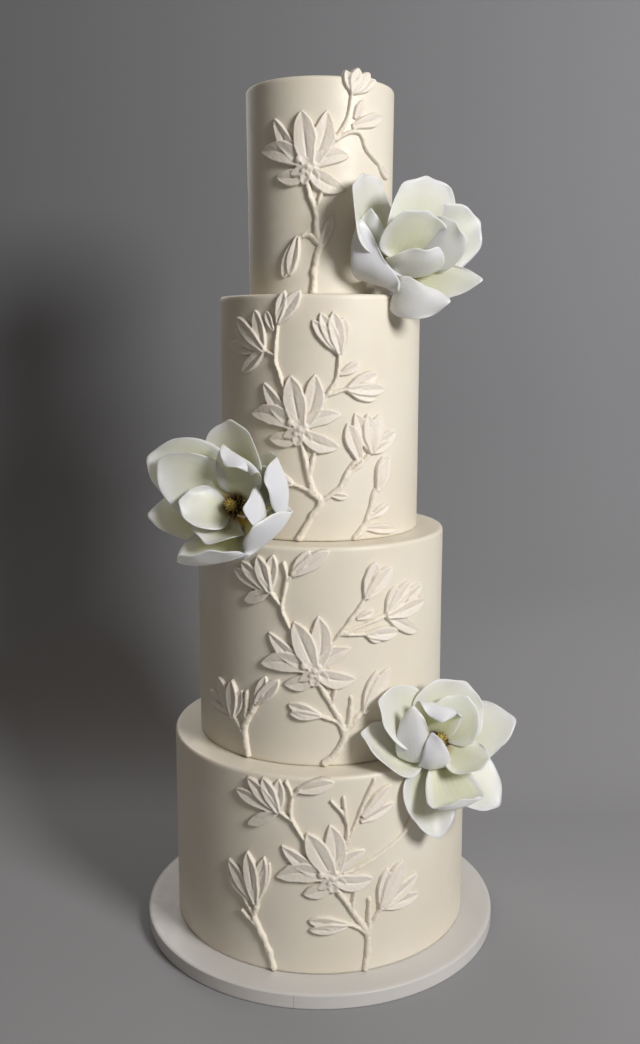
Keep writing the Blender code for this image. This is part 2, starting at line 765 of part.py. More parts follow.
def trim(petal, cutters):
    """Cut a petal back where it would cross one that is already in place."""
    tree = search_tree(petal)
    crossing = [cutter for cutter in cutters if tree.overlap(search_tree(cutter))]
    if not crossing:
        return
    gathered = bpy.data.collections.new("crossing")
    for cutter in crossing:
        gathered.objects.link(cutter)
    cut = petal.modifiers.new("trim", "BOOLEAN")
    cut.operation = "DIFFERENCE"
    cut.operand_type = "COLLECTION"
    cut.collection = gathered
    cut.solver = "MANIFOLD"
    shaped = petal.evaluated_get(bpy.context.evaluated_depsgraph_get())
    mesh = bpy.data.meshes.new_from_object(shaped)
    mesh.name = petal.name
    petal.modifiers.remove(cut)
    petal.data = mesh
    clean(mesh)
    bpy.data.collections.remove(gathered)


def make_magnolia(name, plan):
    """One sugar magnolia: its heart on a wire, and each petal a piece of its own."""
    frame = seen_frame(plan["turn"], plan["tip"])
    heart = Vector(plan["heart"])
    axis = Vector(plan["axis"]).normalized()

    def in_world(spot):
        return heart + frame[0] * spot.x + frame[1] * spot.y + frame[2] * spot.z

    middle = make_heart(name, heart, frame, axis, plan["wire"])
    placed = [grown_copy(middle, TRIM_GAP)]
    number = 0
    for whorl, level in (("inner", INNER_LEVEL), ("outer", OUTER_LEVEL)):
        for spec in plan[whorl]:
            number += 1
            sheet = [[in_world(spot) for spot in row] for row in petal_sheet(axis, spec, level)]
            points, faces = thicken(sheet, PETAL_THICK)
            petal = make_object(name + "_petal_" + str(number), points, faces, "sugar_white", SUGAR_WHITE)
            trim(petal, placed)
            placed.append(grown_copy(petal, TRIM_GAP))
    for cutter in placed:
        bpy.data.objects.remove(cutter)


def main():
    for thing in list(bpy.data.objects):
        bpy.data.objects.remove(thing)
    make_board()
    for index, tier in enumerate(TIERS):
        turned(tier[0], tier_outline(index), "icing", ICING)
    for name, plan in SPRAYS.items():
        make_spray(name, plan)
    for name, plan in MAGNOLIAS.items():
        make_magnolia(name, plan)


main()
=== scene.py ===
"""Dresses a four-tier wedding cake: iced tiers, magnolia sprays in relief and sugar magnolias.

Lengths are in millimetres, and MM turns them into Blender's metres. The cake stands on the floor
at z = 0, its axis is the Z axis, and its front faces -Y.
"""

import math

import bpy
import numpy as np
from mathutils import Matrix, Vector
from bpy.props import FloatProperty, FloatVectorProperty, IntProperty, PointerProperty


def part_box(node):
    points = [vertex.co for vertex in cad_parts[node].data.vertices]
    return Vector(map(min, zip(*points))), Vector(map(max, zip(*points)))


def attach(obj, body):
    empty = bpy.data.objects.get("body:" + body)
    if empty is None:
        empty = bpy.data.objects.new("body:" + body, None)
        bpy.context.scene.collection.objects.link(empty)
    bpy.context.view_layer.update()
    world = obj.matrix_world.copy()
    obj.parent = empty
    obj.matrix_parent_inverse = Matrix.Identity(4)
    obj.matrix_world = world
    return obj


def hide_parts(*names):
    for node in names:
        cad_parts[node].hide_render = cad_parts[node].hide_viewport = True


bl_info = {
    "name": "Tiered Wedding Cake",
    "version": (1, 0, 0),
    "blender": (4, 5, 0),
    "location": "3D View > Sidebar > Cake",
    "description": "Dresses a tiered wedding cake with icing, relief sprays and sugar magnolias",
    "category": "Object",
}

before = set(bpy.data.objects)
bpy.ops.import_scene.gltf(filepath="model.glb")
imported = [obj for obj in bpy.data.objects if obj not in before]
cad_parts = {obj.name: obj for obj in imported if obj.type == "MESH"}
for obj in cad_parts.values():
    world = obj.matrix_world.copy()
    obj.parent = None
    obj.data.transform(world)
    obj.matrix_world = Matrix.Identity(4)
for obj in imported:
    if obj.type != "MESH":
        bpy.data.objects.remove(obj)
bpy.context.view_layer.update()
MM = 0.001
BODY = "root"

# Covering of the board and the tiers
BOARD_ROUND = 1.6
SEAM_AT = -23.5
SEAM_WIDE = (0.15, 0.5)
SEAM_SEEN = 0.55
SEAM_DARK = 0.35
TIER_ROUND = 3.2
GOLDEN_TURN = math.radians(137.508)
FOOT_ROUND = 0.6
UNEVEN_SCALE = 11.0
UNEVEN_TOP = 0.62
UNEVEN_FROM = 4.0
BOARD_RINGS = 40
BOARD_EVEN = 0.4
TIER_RINGS = 90

# Pastes: mottle, scale of its patches, scale of its grain, roughness and height of its bumps
ICING_PASTE = (0.7, 13.0, 700.0, 0.47, 0.00012)
RELIEF_PASTE = (0.6, 40.0, 900.0, 0.55, 0.00010)
BOARD_PASTE = (0.6, 16.0, 700.0, 0.42, 0.00010)
PETAL_PASTE = (0.5, 60.0, 1200.0, 0.42, 0.00005)
HEART_PASTE = (0.8, 300.0, 2500.0, 0.6, 0.0002)

# Tints: the stems' share, the share of the shade painted into the grooves, and the dust on a petal as from,
# to, share at each
STALK_TINT = 0.8
GROOVE_SHADE_SHARE = 0.7
# The petal dust is partly painted shade in the cup: darkest at a petal's foot, lighter towards its tip and
# edges
DUST_AND_SHADE_ALONG = (0.1, 0.95, 1.0, 0.35)
DUST_AND_SHADE_ASIDE = (0.6, 0.98, 1.0, 0.2)
DUST_AND_SHADE_END = (0.9, 0.99, 1.0, 0.3)
FOOT_DUST_ALONG = (0.04, 0.24, 0.95, 0.0)
VEIN_TINT = 0.10
VEIN_FANS = {"Veins": 30.0, "Reach": 0.85}
VEIN_BUMP = {"Strength": 0.5, "Distance": 0.0002}

# How far light goes into a paste: its share, and its reach in red, green and blue
ICING_GLOW = (0.12, (0.006, 0.004, 0.002))
RELIEF_GLOW = (0.08, (0.004, 0.0025, 0.0015))
PETAL_GLOW = (0.6, (0.005, 0.005, 0.003))

# Relief: heights over the icing
SHEET_SUNK = -2.0
SHEET_KEPT = -1.3
STEM_HIGH = 3.4
STEM_WIDE = 3.5
STEM_TAPER = 0.25
BRANCH_WIDE = 0.74
RIM_HIGH = 3.7
RIM_FROM = 0.82
RIM_TO = 0.95
RIM_STEP = 0.55
FOLD_DEEP = 1.3
GROOVE_DEEP = 1.0
GROOVE_WIDE = 0.65
VEIN_DEEP = 0.45
VEIN_WIDE = 0.45
VEINS_AT = (0.3, 0.58)
EDGE_SLOPE = 5.0
EDGE_IN = 0.4
# Painted shade in the relief: how far under its blurred surroundings a point lies before it darkens, and how
# fast it darkens
GROOVE_SHADE_FROM = 0.22
GROOVE_SHADE_GAIN = 1.3
MARGIN = 9.0
BLOOM_LAP = 3.0
PATCH_REACH = 13.0
SEED_STEP = 10
BACK_SEED = 200
OUTLINE_ROUGH = 0.07
HALF_LEAST = 0.4
LIFT_FADE = 0.5
TIP_DROP = 0.5
GROOVE_FADE = (0.5, 0.85)
VEIN_FADE = (0.18, 0.48)
STEM_FINE = (15.0, 120.0)
STEM_ROUGH = 0.22
STEM_LUMPS = 0.5
LUMP_SIZE = 7.0
BARK_SIZE = 2.2
BARK_FROM = 0.4
PETAL_BARK = 0.11
STALK_BARK = 0.22
BLUR_PASSES = 6
SHEET_LOWEST = 0.2

# Petal outline in relief: narrow at its foot, widest past the middle, pointed
FOOT_WIDTH = 0.34
SWELL = 3.138
SWELL_POWER = 1.203
TIP_POWER = 0.8

# The open bloom that every spray carries: length, bearing, width, lift, and bend of each petal
BLOOM = (
    (38, 20, 15, 0.6, 0.10),
    (38, -26, 17, 1.6, -0.10),
    (50, 75, 19, 0.8, -0.08),
    (54, 131, 14, 0.4, 0.06),
    (51, 165, 19, 1.2, -0.10),
    (32, 196, 15, 0.8, 0.14),
    (48, 101, 20, 2.4, 0.0),
    (17, 205, 9, 3.0, 0.0),
    (16, 255, 10, 2.2, 0.0),
    (15, 310, 9, 2.2, 0.0),
)

# Round knobs in the bloom's middle: across, up, radius and height, turned with the bloom
BLOOM_KNOBS = (
    (-8.5, 6.0, 3.9, 6.4),
    (0.0, 0.0, 3.6, 6.6),
    (4.4, 3.0, 2.6, 6.0),
    (-3.8, -3.8, 3.0, 5.8),
)

# Sprays: (arc to the right of the front, height over the tier's foot)
SPRAYS = {
    "spray_4_front": {
        "tier": 3,
        "bloom": ((-10, 108), -4),
        "stems": (
            ((-12, 98), (-9, 84), (-4, 72), (-3, 53), (0, 43), (-4, 28), (-5, 15), (-6, 3)),
            ((-4, 71), (-1, 78), (1, 86)),
            ((-1, 43), (-9, 51), (-20, 49)),
            ((2, 116), (14, 133), (24, 149), (28, 172)),
            ((14, 131), (27, 138), (37, 137), (44, 124), (62, 112)),
        ),
        "petals": (
            ((-19, 50), (-35, 14), 14, 0.4),
            ((-20, 49), (-28, 16), 11, 1.8),
            ((1, 40), (12, 68), 9, 0.6),
            ((28, 170), (22, 189), 9, 0.4),
            ((28, 170), (54, 184), 10, 0.4),
            ((28, 170), (46, 189), 11, 1.2),
            ((28, 170), (34, 191.5), 12, 2.0),
            ((31, 150), (41, 166), 9, 0.8),
            ((29, 143), (64, 155), 12, 0.4),
            ((60, 113), (76, 104), 10, 0.6),
        ),
    },
    "spray_3_front": {
        "tier": 2,
        "bloom": ((-17, 101), 0),
        "stems": (
            ((-17, 91), (-13, 74), (-7, 48), (1, 37), (-5, 26), (-14, 11), (-19, 3)),
            ((-9, 61), (-5, 80)),
            ((1, 37), (-10, 46), (-27, 53)),
            ((2, 37), (19, 50), (27, 61), (37, 69), (48, 81)),
            ((18, 50), (27, 67), (36, 74)),
            ((-24, 115), (-37, 151), (-40, 165), (-37, 195)),
            ((-40, 165), (-53, 171)),
            ((-2, 112), (6, 131), (15, 147), (17, 170)),
            ((7, 131), (26, 137)),
        ),
        "petals": (
            ((-25, 53), (-58, 66), 13, 0.4),
            ((-25, 52), (-56, 57), 12, 1.6),
            ((36, 72), (24, 106), 15, 1.0),
            ((10, 42), (26, 40), 7, 0.4),
            ((47, 79), (76, 97), 14, 0.4),
            ((47, 79), (68, 88), 10, 1.2),
            ((47, 79), (31, 115), 15, 0.6),
            ((47, 79), (56, 113), 16, 1.2),
            ((47, 79), (43, 114), 14, 2.4),
            ((-37, 193), (-17, 221), 13, 1.0),
            ((-37, 194), (-31, 221), 10, 2.0),
            ((-42, 187), (-49, 204), 8, 0.6),
            ((-51, 170), (-97, 174), 14, 0.4),
            ((-51, 170), (-78, 149), 12, 0.8),
            ((-51, 170), (-61, 205), 13, 0.8),
            ((-51, 170), (-88, 188), 14, 1.6),
            ((-51, 170), (-84, 199), 13, 2.6),
            ((17, 167), (-7, 196), 12, 0.4),
            ((17, 167), (21, 198), 13, 0.6),
            ((17, 167), (0, 202), 13, 1.2),
            ((17, 167), (11, 203), 14, 2.2),
            ((18, 149), (36, 159), 9, 0.6),
            ((24, 136), (53, 127), 13, 0.6),
            ((24, 136), (54, 149), 14, 0.8),
            ((24, 136), (62, 135), 12, 2.0),
        ),
    },
    "spray_3_right": {
        "tier": 2,
        "stems": (
            ((32, 3), (40, 10), (46, 22), (51, 40), (56, 47)),
        ),
        "petals": (
            ((54, 44), (68, 75), 14, 0.6),
            ((54, 44), (60, 75), 11, 1.8),
            ((47, 20), (69, 31), 9, 0.6),
            ((41, 11), (80, 6), 10, 0.4),
        ),
    },
    "spray_2_front": {
        "tier": 1,
        "bloom": ((-4.5, 91), 11.5),
        "stems": (
            ((-3, 82), (7, 64), (14, 51), (23, 30), (19, 20), (11, 8), (4, 3)),
            ((10, 57), (14, 74)),
            ((22, 32), (15, 42), (-2, 49)),
            ((23, 31), (27, 46), (28, 64)),
            ((23, 31), (35, 46), (42, 51)),
            ((-14, 105), (-29, 134), (-34, 149), (-29, 174), (-32, 188)),
            ((-34, 148), (-46, 163)),
            ((-30, 171), (-22, 180)),
            ((4, 104), (18, 125), (37, 150), (42, 160)),
            ((16, 123), (36, 130), (62, 138)),
            ((20, 124), (44, 122)),
        ),
        "petals": (
            ((0, 49), (-29, 58), 12, 0.6),
            ((0, 48), (-28, 50), 10, 1.6),
            ((40, 49), (53, 87), 13, 0.6),
            ((40, 49), (66, 88), 15, 1.6),
            ((-45, 162), (-84, 178), 14, 0.4),
            ((-45, 162), (-72, 149), 12, 0.8),
            ((-45, 162), (-42, 195), 12, 0.6),
            ((-45, 162), (-75, 186), 13, 1.6),
            ((-45, 162), (-57, 193), 14, 2.4),
            ((-24, 178), (-9, 200), 11, 0.8),
            ((-24, 178), (8, 200), 14, 1.8),
            ((41, 156), (51, 188), 15, 0.8),
            ((41, 156), (67, 182), 16, 1.8),
            ((33, 137), (50, 143), 8, 0.6),
            ((62, 137), (73, 164), 13, 0.4),
            ((62, 137), (101, 115), 14, 0.4),
            ((62, 137), (107, 160), 14, 0.8),
            ((62, 137), (89, 166), 14, 1.6),
            ((62, 137), (110, 144), 15, 2.4),
            ((42, 122), (57, 114), 9, 0.4),
            ((42, 122), (75, 120), 13, 1.4),
        ),
    },
    "spray_2_left": {
        "tier": 1,
        "stems": (
            ((-70, 3), (-74, 22), (-72, 34), (-59, 57)),
            ((-74, 22), (-88, 40)),
            ((-72, 38), (-70, 64)),
        ),
        "petals": (
            ((-60, 55), (-50, 82), 11, 0.6),
            ((-60, 55), (-37, 80), 13, 1.6),
            ((-86, 37), (-127, 52), 14, 0.4),
            ((-86, 37), (-76, 64), 12, 0.8),
            ((-86, 37), (-108, 70), 15, 1.2),
            ((-86, 37), (-88, 72), 14, 2.4),
            ((-86, 37), (-124, 40), 11, 2.0),
        ),
    },
    "spray_1_front": {
        "tier": 0,
        "bloom": ((11, 97), 17.5),
        "stems": (
            ((13, 88), (26, 67), (36, 51), (44, 36), (44, 21), (42, 3)),
            ((29, 64), (31, 80)),
            ((42, 39), (30, 48), (20, 49)),
            ((45, 38), (45, 71)),
            ((45, 38), (57, 63)),
            ((-2, 112), (-23, 147), (-26, 160), (-25, 174), (-30, 186)),
            ((-25, 150), (-39, 159)),
            ((-25, 172), (-18, 180)),
            ((18, 110), (24, 132), (23, 152), (10, 169)),
            ((23, 150), (21, 172)),
            ((22, 122), (37, 160), (49, 186)),
            ((22, 100), (40, 106), (74, 124), (87, 137)),
        ),
        "petals": (
            ((24, 50), (-11, 54), 12, 0.6),
            ((24, 48), (-10, 45), 11, 1.6),
            ((56, 61), (99, 63), 14, 0.4),
            ((56, 61), (63, 98), 14, 0.6),
            ((56, 61), (97, 84), 15, 1.4),
            ((56, 61), (79, 102), 16, 2.4),
            ((-37, 158), (-80, 172), 14, 0.4),
            ((-37, 158), (-68, 140), 12, 0.8),
            ((-37, 158), (-37, 188), 12, 0.6),
            ((-37, 158), (-67, 186), 13, 1.6),
            ((-37, 158), (-52, 188), 13, 2.4),
            ((-20, 179), (13, 187), 14, 1.0),
            ((37, 148), (69, 161), 11, 0.6),
            ((38, 153), (66, 179), 12, 1.4),
            ((84, 134), (104, 150), 12, 0.8),
        ),
    },
    "spray_1_left": {
        "tier": 0,
        "stems": (
            ((-43, 3), (-48, 20), (-56, 38), (-62, 50), (-58, 68)),
            ((-61, 50), (-71, 67)),
            ((-58, 42), (-74, 54)),
        ),
        "petals": (
            ((-59, 65), (-89, 86), 13, 0.4),
            ((-59, 65), (-46, 107), 10, 0.4),
            ((-59, 65), (-89, 101), 14, 1.2),
            ((-59, 65), (-51, 112), 13, 1.2),
            ((-59, 65), (-68, 114), 15, 2.4),
        ),
    },
}

# Sprays on the side that faces away: plan, tier, bearing of its middle, and which way round
BACK_SPRAYS = (
    ("relief_1_back", "spray_1_front", 0, 132, 1),
    ("relief_1_side", "spray_1_front", 0, 226, -1),
    ("relief_2_back", "spray_2_front", 1, 146, -1),
    ("relief_2_side", "spray_2_left", 1, 232, -1),
    ("relief_3_back", "spray_3_front", 2, 150, 1),
    ("relief_3_side", "spray_1_left", 2, 232, 1),
    ("relief_4_back", "spray_4_front", 3, 160, -1),
)

# Sugar magnolias
PETAL_CLAW = 0.11
PETAL_FULL_AT = 0.6
PETAL_END = 0.76
PETAL_SWELL = 1.1
CUP_EASING = 0.3
ROUTE_STEPS = 8
LOOK_AHEAD = 0.02
TIP_POINT = 0.035
TIP_WIDE = 0.26
TIP_ASIDE = 0.16
TIP_FLICK = 2.2
CUP_GAIN = 1.22
SHOULDER = 0.04
SWELL_HIGH = 0.8
EDGE_WAVE = 1.5
SWELL_WAVES = (4.2, 5.5)
EDGE_WAVES = (8.5, 1.6)
BRIM_WAVES = 5.0
RUFFLE = (0.7, 1.2)
FLICK_FROM = 0.8
EDGE_THIN = 0.55
OUTER_LEVEL = -3.5
INNER_LEVEL = 3.5
BASE_RADIUS = 8.4
WIRE_RADIUS = 2.2
HEART_OUTLINE = (
    # radius, place along the axis
    (WIRE_RADIUS, -7.0),
    (6.4, -4.0),
    (6.8, 0.0),
    (6.4, 6.0),
    (4.2, 9.0),
    (4.6, 15.0),
    (2.0, 20.0),
)
HEART_SIDES = 28
HEART_CAP = 0.8
HEART_END = 0.01
WIRE_END = 0.6

# Tufts round each cone: count, lengths in millimetres and how far they lean
STAMENS = {
    "Cone Foot": 6.0, "Cone Height": 4.5, "Foot Radius": 5.2, "Top Radius": 4.4,
    "Stalk Length": 7.0, "Stalk Radius": 0.9,
}
STAMEN_LEAN = 0.75
CARPELS = {
    "Cone Foot": 9.0, "Cone Height": 10.0, "Foot Radius": 4.4, "Top Radius": 1.0,
    "Stalk Length": 5.0, "Stalk Radius": 1.1,
}
CARPEL_COUNT = 40
CARPEL_LEAN = 0.8
CARPEL_SEED = 20
TUFT_SIDES = 7
TUFT_JITTER = 0.25
TUFT_SIZES = (0.75, 1.15)
TUFT_BEND = 14.0

# Each place is (right, up, out) of the flower's heart, square to the way it is seen.
# A petal is its route from the heart, its width, the way its width runs, its cup and its point.
MAGNOLIAS = {
    "magnolia_top": {
        "heart": (72.0, -62.0, 651.0),
        "turn": 4.4,
        "tip": -3.8,
        "axis": (0.62, 0.45, 0.64),
        "wire": 28.5,
        "outer": (
            (((-30, 36, 2), (-38, 79, 12)), 74, None, 0.8, 0.06),
            (((-16, -17, 8), (-32, -1, 22), (-39, 40, 24)), 42, (-0.9, 0.2, -0.25), 1.0, 0.25),
            (((11, 38, 2), (16, 77, 12)), 84, None, 0.8, 0.05),
            (((36, 22, -10), (73, 40, -9)), 60, None, 0.5, 0.08),
            (((-7, -20, 19), (8, -28, 31), (38, -30, 39)), 36, (0.1, 0.9, 0.0), 0.5, 0.15),
            (((26, -14, 3), (46, -12, 9), (71, -12, 16)), 36, (-0.1, -0.95, 0.25), 0.6, 0.25),
        ),
        "inner": (
            (((-20, 7, 8), (-30, 27, 18), (-31, 49, 24)), 30, (-0.9, 0.2, -0.25), 0.6, 0.2),
            (((18, 12, 8), (33, 23, 19), (44, 38, 27)), 48, None, 0.75, 0.06),
            (((2, 14, 10), (8, 32, 22), (17, 47, 33)), 64, (0.95, 0.3, 0), 0.85, 0.03),
            (((7, -8, 12), (9, 3, 28), (7, 15, 40)), 56, (-1, 0.08, 0.1), 1.1, 0.08),
        ),
    },
    "magnolia_left": {
        "heart": (-70.0, -104.0, 441.0),
        "turn": -4.4,
        "tip": 9.2,
        "axis": (-0.45, 0.15, 0.88),
        "wire": 29.0,
        "outer": (
            (((-42, 30, 5), (-80, 46, 16)), 68, None, 0.8, 0.16),
            (((-42, -6, -3), (-83, -5, 3)), 54, None, 0.6, 0.22),
            (((-15, -37, 10), (-20, -49, 27), (-22, -36, 47)), 70, (-1, -0.15, 0), 0.85, 0.08),
            (((17, -19, 2), (31, -26, 20), (18, -12, 42)), 64, (-0.72, -0.69, 0), 0.95, 0.10),
            (((25, 16, 0), (43, 19, 18), (27, 19, 42)), 66, (0.15, -1, 0), 1.0, 0.12),
            (((-4, 41, 8), (-7, 77, 18)), 66, None, 1.0, 0.14),
        ),
        "inner": (
            (((-38, 20, 14), (-72, 38, 22)), 58, None, 1.0, 0.16),
            (((-27, -2, 18), (-51, 4, 28)), 44, None, 1.0, 0.15),
            (((-15, -18, 10), (-27, -29, 33)), 52, (-1, 0.17, 0), 1.0, 0.08),
            (((22, -4, 14), (24, -1, 32), (11, 1, 50)), 48, (0.1, -1, 0), 1.1, 0.15),
            (((20, 17, 4), (25, 38, 22)), 30, (1, -0.3, 0), 0.8, 0.2),
            (((1, 16, 12), (4, 37, 24), (3, 44, 33), (-5, 34, 42)), 48, (0.8, -0.6, 0), 1.0, 0.12),
        ),
    },
    "magnolia_right": {
        "heart": (104.0, -104.0, 219.0),
        "turn": 6.2,
        "tip": 21.5,
        "axis": (0.25, 0.35, 0.9),
        "wire": 16.5,
        "outer": (
            (((-26, 24, 12), (-55, 40, 33)), 62, None, 1.0, 0.14),
            (((14, 28, 1), (31, 58, 9)), 72, None, 1.0, 0.12),
            (((37, 11, -5), (80, 22, -1)), 64, None, 0.6, 0.2),
            (((29, -28, -4), (60, -56, 0)), 63, None, 0.6, 0.14),
            (((-6, -44, -3), (6, -82, -4)), 60, None, 1.1, 0.2),
            (((-35, -6, 6), (-70, 15, 22)), 56, None, 1.3, 0.12),
        ),
        "inner": (
            (((-17, -14, 15), (-24, 5, 32), (-23, 36, 38)), 36, (-1, 0, -0.3), 1.0, 0.14),
            (((2, 15, 10), (3, 33, 22), (3, 35, 33), (2, 20, 39)), 46, (1, -0.35, 0), 1.0, 0.12),
            (((18, 20, 8), (30, 44, 16)), 52, None, 1.1, 0.14),
            (((-3, -21, 12), (-3, -12, 27), (-9, 12, 37)), 30, (-1, 0, 0), 1.0, 0.16),
            (((26, -14, 14), (46, -15, 26)), 44, None, 1.0, 0.12),
            (((7, -27, 9), (13, -47, 18), (14, -55, 30), (13, -49, 40)), 54, (-1, -0.2, 0), 0.9, 0.06),
        ),
    },
}


# Stage: lengths in millimetres here, and in metres for the lamps and the camera
FLOOR_COLOUR = (0.30, 0.30, 0.31, 1.0)
BACKDROP_COLOUR = (0.26, 0.26, 0.275)
# Painted shade: the backdrop darkens to this grey towards its left side, over this span in X, in metres
BACKDROP_PAINTED_SHADE = (0.175, 0.177, 0.187)
BACKDROP_SHADE_SPAN = (-0.55, 0.4)
STAGE_ROUGH = 0.85
FLOOR_REACH = 2300.0
SWEEP_ROUND = 1200.0
SWEEP_STEPS = 16
SWEEP_SIDES = 96
WALL_HIGH = 2700.0
BACKDROP_FROM = 215.0
BACKDROP_ROUND = 240.0
BACKDROP_WIDE = 2250.0
AIR_COLOUR = (1.0, 0.87, 0.73, 1.0)
AIR_STRENGTH = 0.15
LAMPS = (
    # name, place, aim, size, spread in degrees, power and colour
    ("key_light", (1.20, -1.34, 1.25), (0.0, 0.0, 0.42), 0.62, 180, 35.0, (1.0, 0.99, 0.98)),
    ("fill_light", (-0.9, -2.0, 1.3), (0.0, 0.0, 0.4), 1.4, 180, 2.5, (1.0, 0.93, 0.82)),
    ("back_light", (-0.9, 1.8, 1.5), (0.0, 0.0, 0.45), 1.4, 180, 13.0, (1.0, 0.98, 0.95)),
)
SENSOR = 36.0
LENS = 36.14
CAMERA_PLACE = (0.0, -1.0207, 0.5898)
CAMERA_DOWN = 10.0


def colour_setting(name, description, default):
    """A colour among the cake's settings."""
    return FloatVectorProperty(name=name, description=description, subtype="COLOR",
                               size=3, min=0.0, max=1.0, default=default)


class CakeSettings(bpy.types.PropertyGroup):
    """Sizes and colours of the cake's covering and flowers."""

    icing: colour_setting("Icing", "Colour of the tiers' icing", (0.80, 0.745, 0.635))
    relief: colour_setting("Relief", "Colour of the sprays in relief", (0.82, 0.76, 0.675))
    stalk: colour_setting("Stems", "Colour of the sprays' stems", (0.83, 0.76, 0.64))
    # Painted shade: this colour darkens the relief's grooves and the creases between its petals, where shade
    # falls
    hollow: colour_setting("Groove Shade", "Colour of the shade painted into the relief's grooves",
                           (0.36, 0.28, 0.20))
    board: colour_setting("Board", "Colour of the board's covering", (0.66, 0.635, 0.61))
    petal: colour_setting("Petal", "Colour of the sugar petals", (0.84, 0.85, 0.81))
    # Partly painted shade: besides tinting the petals yellow-green inside, this dust darkens the cup where
    # shade falls
    petal_dust: colour_setting("Petal Dust", "Colour brushed inside the petals, from their foot",
                               (0.64, 0.65, 0.43))
    foot_dust: colour_setting("Foot Dust", "Colour brushed round the petals' feet",
                              (0.40, 0.22, 0.04))
    stamen: colour_setting("Stamens", "Colour of the stamens", (0.045, 0.014, 0.008))
    carpel: colour_setting("Cone", "Colour of the cone in a flower's middle", (0.62, 0.46, 0.11))
    waviness: FloatProperty(
        name="Waviness", description="How uneven the hand-smoothed icing is",
        unit="LENGTH", min=0.0, max=0.004, default=0.0007)
    sides: IntProperty(
        name="Sides", description="Sides of the round covering", min=24, max=256, default=160)
    relief_cell: FloatProperty(
        name="Relief Detail", description="Distance between two points of the relief",
        unit="LENGTH", min=0.0003, max=0.003, default=0.0006)
    back_cell: FloatProperty(
        name="Back Relief Detail", description="The same distance on the far side",
        unit="LENGTH", min=0.0003, max=0.003, default=0.0009)
    petal_thick: FloatProperty(
        name="Petal Thickness", description="Thickness of a sugar petal in its middle",
        unit="LENGTH", min=0.0003, max=0.003, default=0.0011)
    petal_rows: IntProperty(
        name="Petal Rows", description="Rows of points along a sugar petal", min=6, max=60, default=28)
    petal_columns: IntProperty(
        name="Petal Columns", description="Points across a sugar petal", min=4, max=60, default=22)
    stamens: IntProperty(
        name="Stamen Count", description="Stamens round each cone", min=3, max=200, default=80)


# Reading the frame

def ring_radius(node, top):
    """Radius in millimetres of a turned node's widest ring in its upper or lower half."""
    low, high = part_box(node)
    middle = (low.z + high.z) / 2
    reach = 0.0
    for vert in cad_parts[node].data.vertices:
        if (vert.co.z > middle) == top:
            reach = max(reach, math.hypot(vert.co.x, vert.co.y))
    return reach / MM


def read_tier(node):
    """A tier's foot, height, foot radius and top radius in millimetres."""
    low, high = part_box(node)
    return low.z / MM, (high.z - low.z) / MM, ring_radius(node, False), ring_radius(node, True)


TIERS = [read_tier("tier_" + str(number)) for number in range(1, 5)]


def on_tier(index, across, height, out):
    """Places on a tier's side: arc right of the front, height over its foot, and how far out."""
    foot, full, foot_radius, top_radius = TIERS[index]
    share = np.clip(height / full, 0.0, 1.0)
    radius = foot_radius + (top_radius - foot_radius) * share + out
    angle = across / top_radius
    return np.stack((radius * np.sin(angle), -radius * np.cos(angle), foot + height), axis=-1)


# Node trees

SHAPE_ONLY = (("Geometry", "NodeSocketGeometry"),)


def put(tree, kind, settings=None, inputs=None):
    """Add a node: settings are its own properties, inputs are values or outputs for its sockets."""
    node = tree.nodes.new(kind)
    for key, value in (settings or {}).items():
        setattr(node, key, value)
    for key, value in (inputs or {}).items():
        if isinstance(value, bpy.types.NodeSocket):
            tree.links.new(value, node.inputs[key])
        else:
            node.inputs[key].default_value = value
    return node


def calc(tree, operation, first, second=0.0, third=0.0):
    """The result of one sum on numbers."""
    return put(tree, "ShaderNodeMath", {"operation": operation}, {0: first, 1: second, 2: third}).outputs[0]


def vector_calc(tree, operation, first, second=(0.0, 0.0, 0.0)):
    """The result of one sum on vectors."""
    node = put(tree, "ShaderNodeVectorMath", {"operation": operation}, {0: first, 1: second})
    return node.outputs["Vector"]


def scaled(tree, vector, factor):
    """A vector times a number."""
    return put(tree, "ShaderNodeVectorMath", {"operation": "SCALE"}, {0: vector, "Scale": factor}).outputs[0]


def mixed(tree, factor, first, second, blend="MIX"):
    """A mix of two colours."""
    node = put(tree, "ShaderNodeMix", {"data_type": "RGBA", "blend_type": blend},
               {0: factor, 6: first, 7: second})
    return node.outputs[2]


def ranged(tree, value, low, high, to_low=0.0, to_high=1.0):
    """A number moved from one range to another."""
    inputs = {"Value": value, "From Min": low, "From Max": high, "To Min": to_low, "To Max": to_high}
    return put(tree, "ShaderNodeMapRange", {"clamp": True}, inputs).outputs[0]


def noise(tree, place, scale, detail, roughness, distortion=0.0):
    """A noise pattern from 0 to 1."""
    inputs = {"Vector": place, "Scale": scale, "Detail": detail, "Roughness": roughness,
              "Distortion": distortion}
    return put(tree, "ShaderNodeTexNoise", None, inputs).outputs["Fac"]


def new_group(name, kind, inputs, outputs):
    """A node group with its sockets, its input node and its output node."""
    tree = bpy.data.node_groups.new(name, kind)
    for label, socket_type, value in inputs:
        socket = tree.interface.new_socket(name=label, in_out="INPUT", socket_type=socket_type)
        if value is not None:
            socket.default_value = value
    for label, socket_type in outputs:
        tree.interface.new_socket(name=label, in_out="OUTPUT", socket_type=socket_type)
    return tree, tree.nodes.new("NodeGroupInput").outputs, tree.nodes.new("NodeGroupOutput").inputs


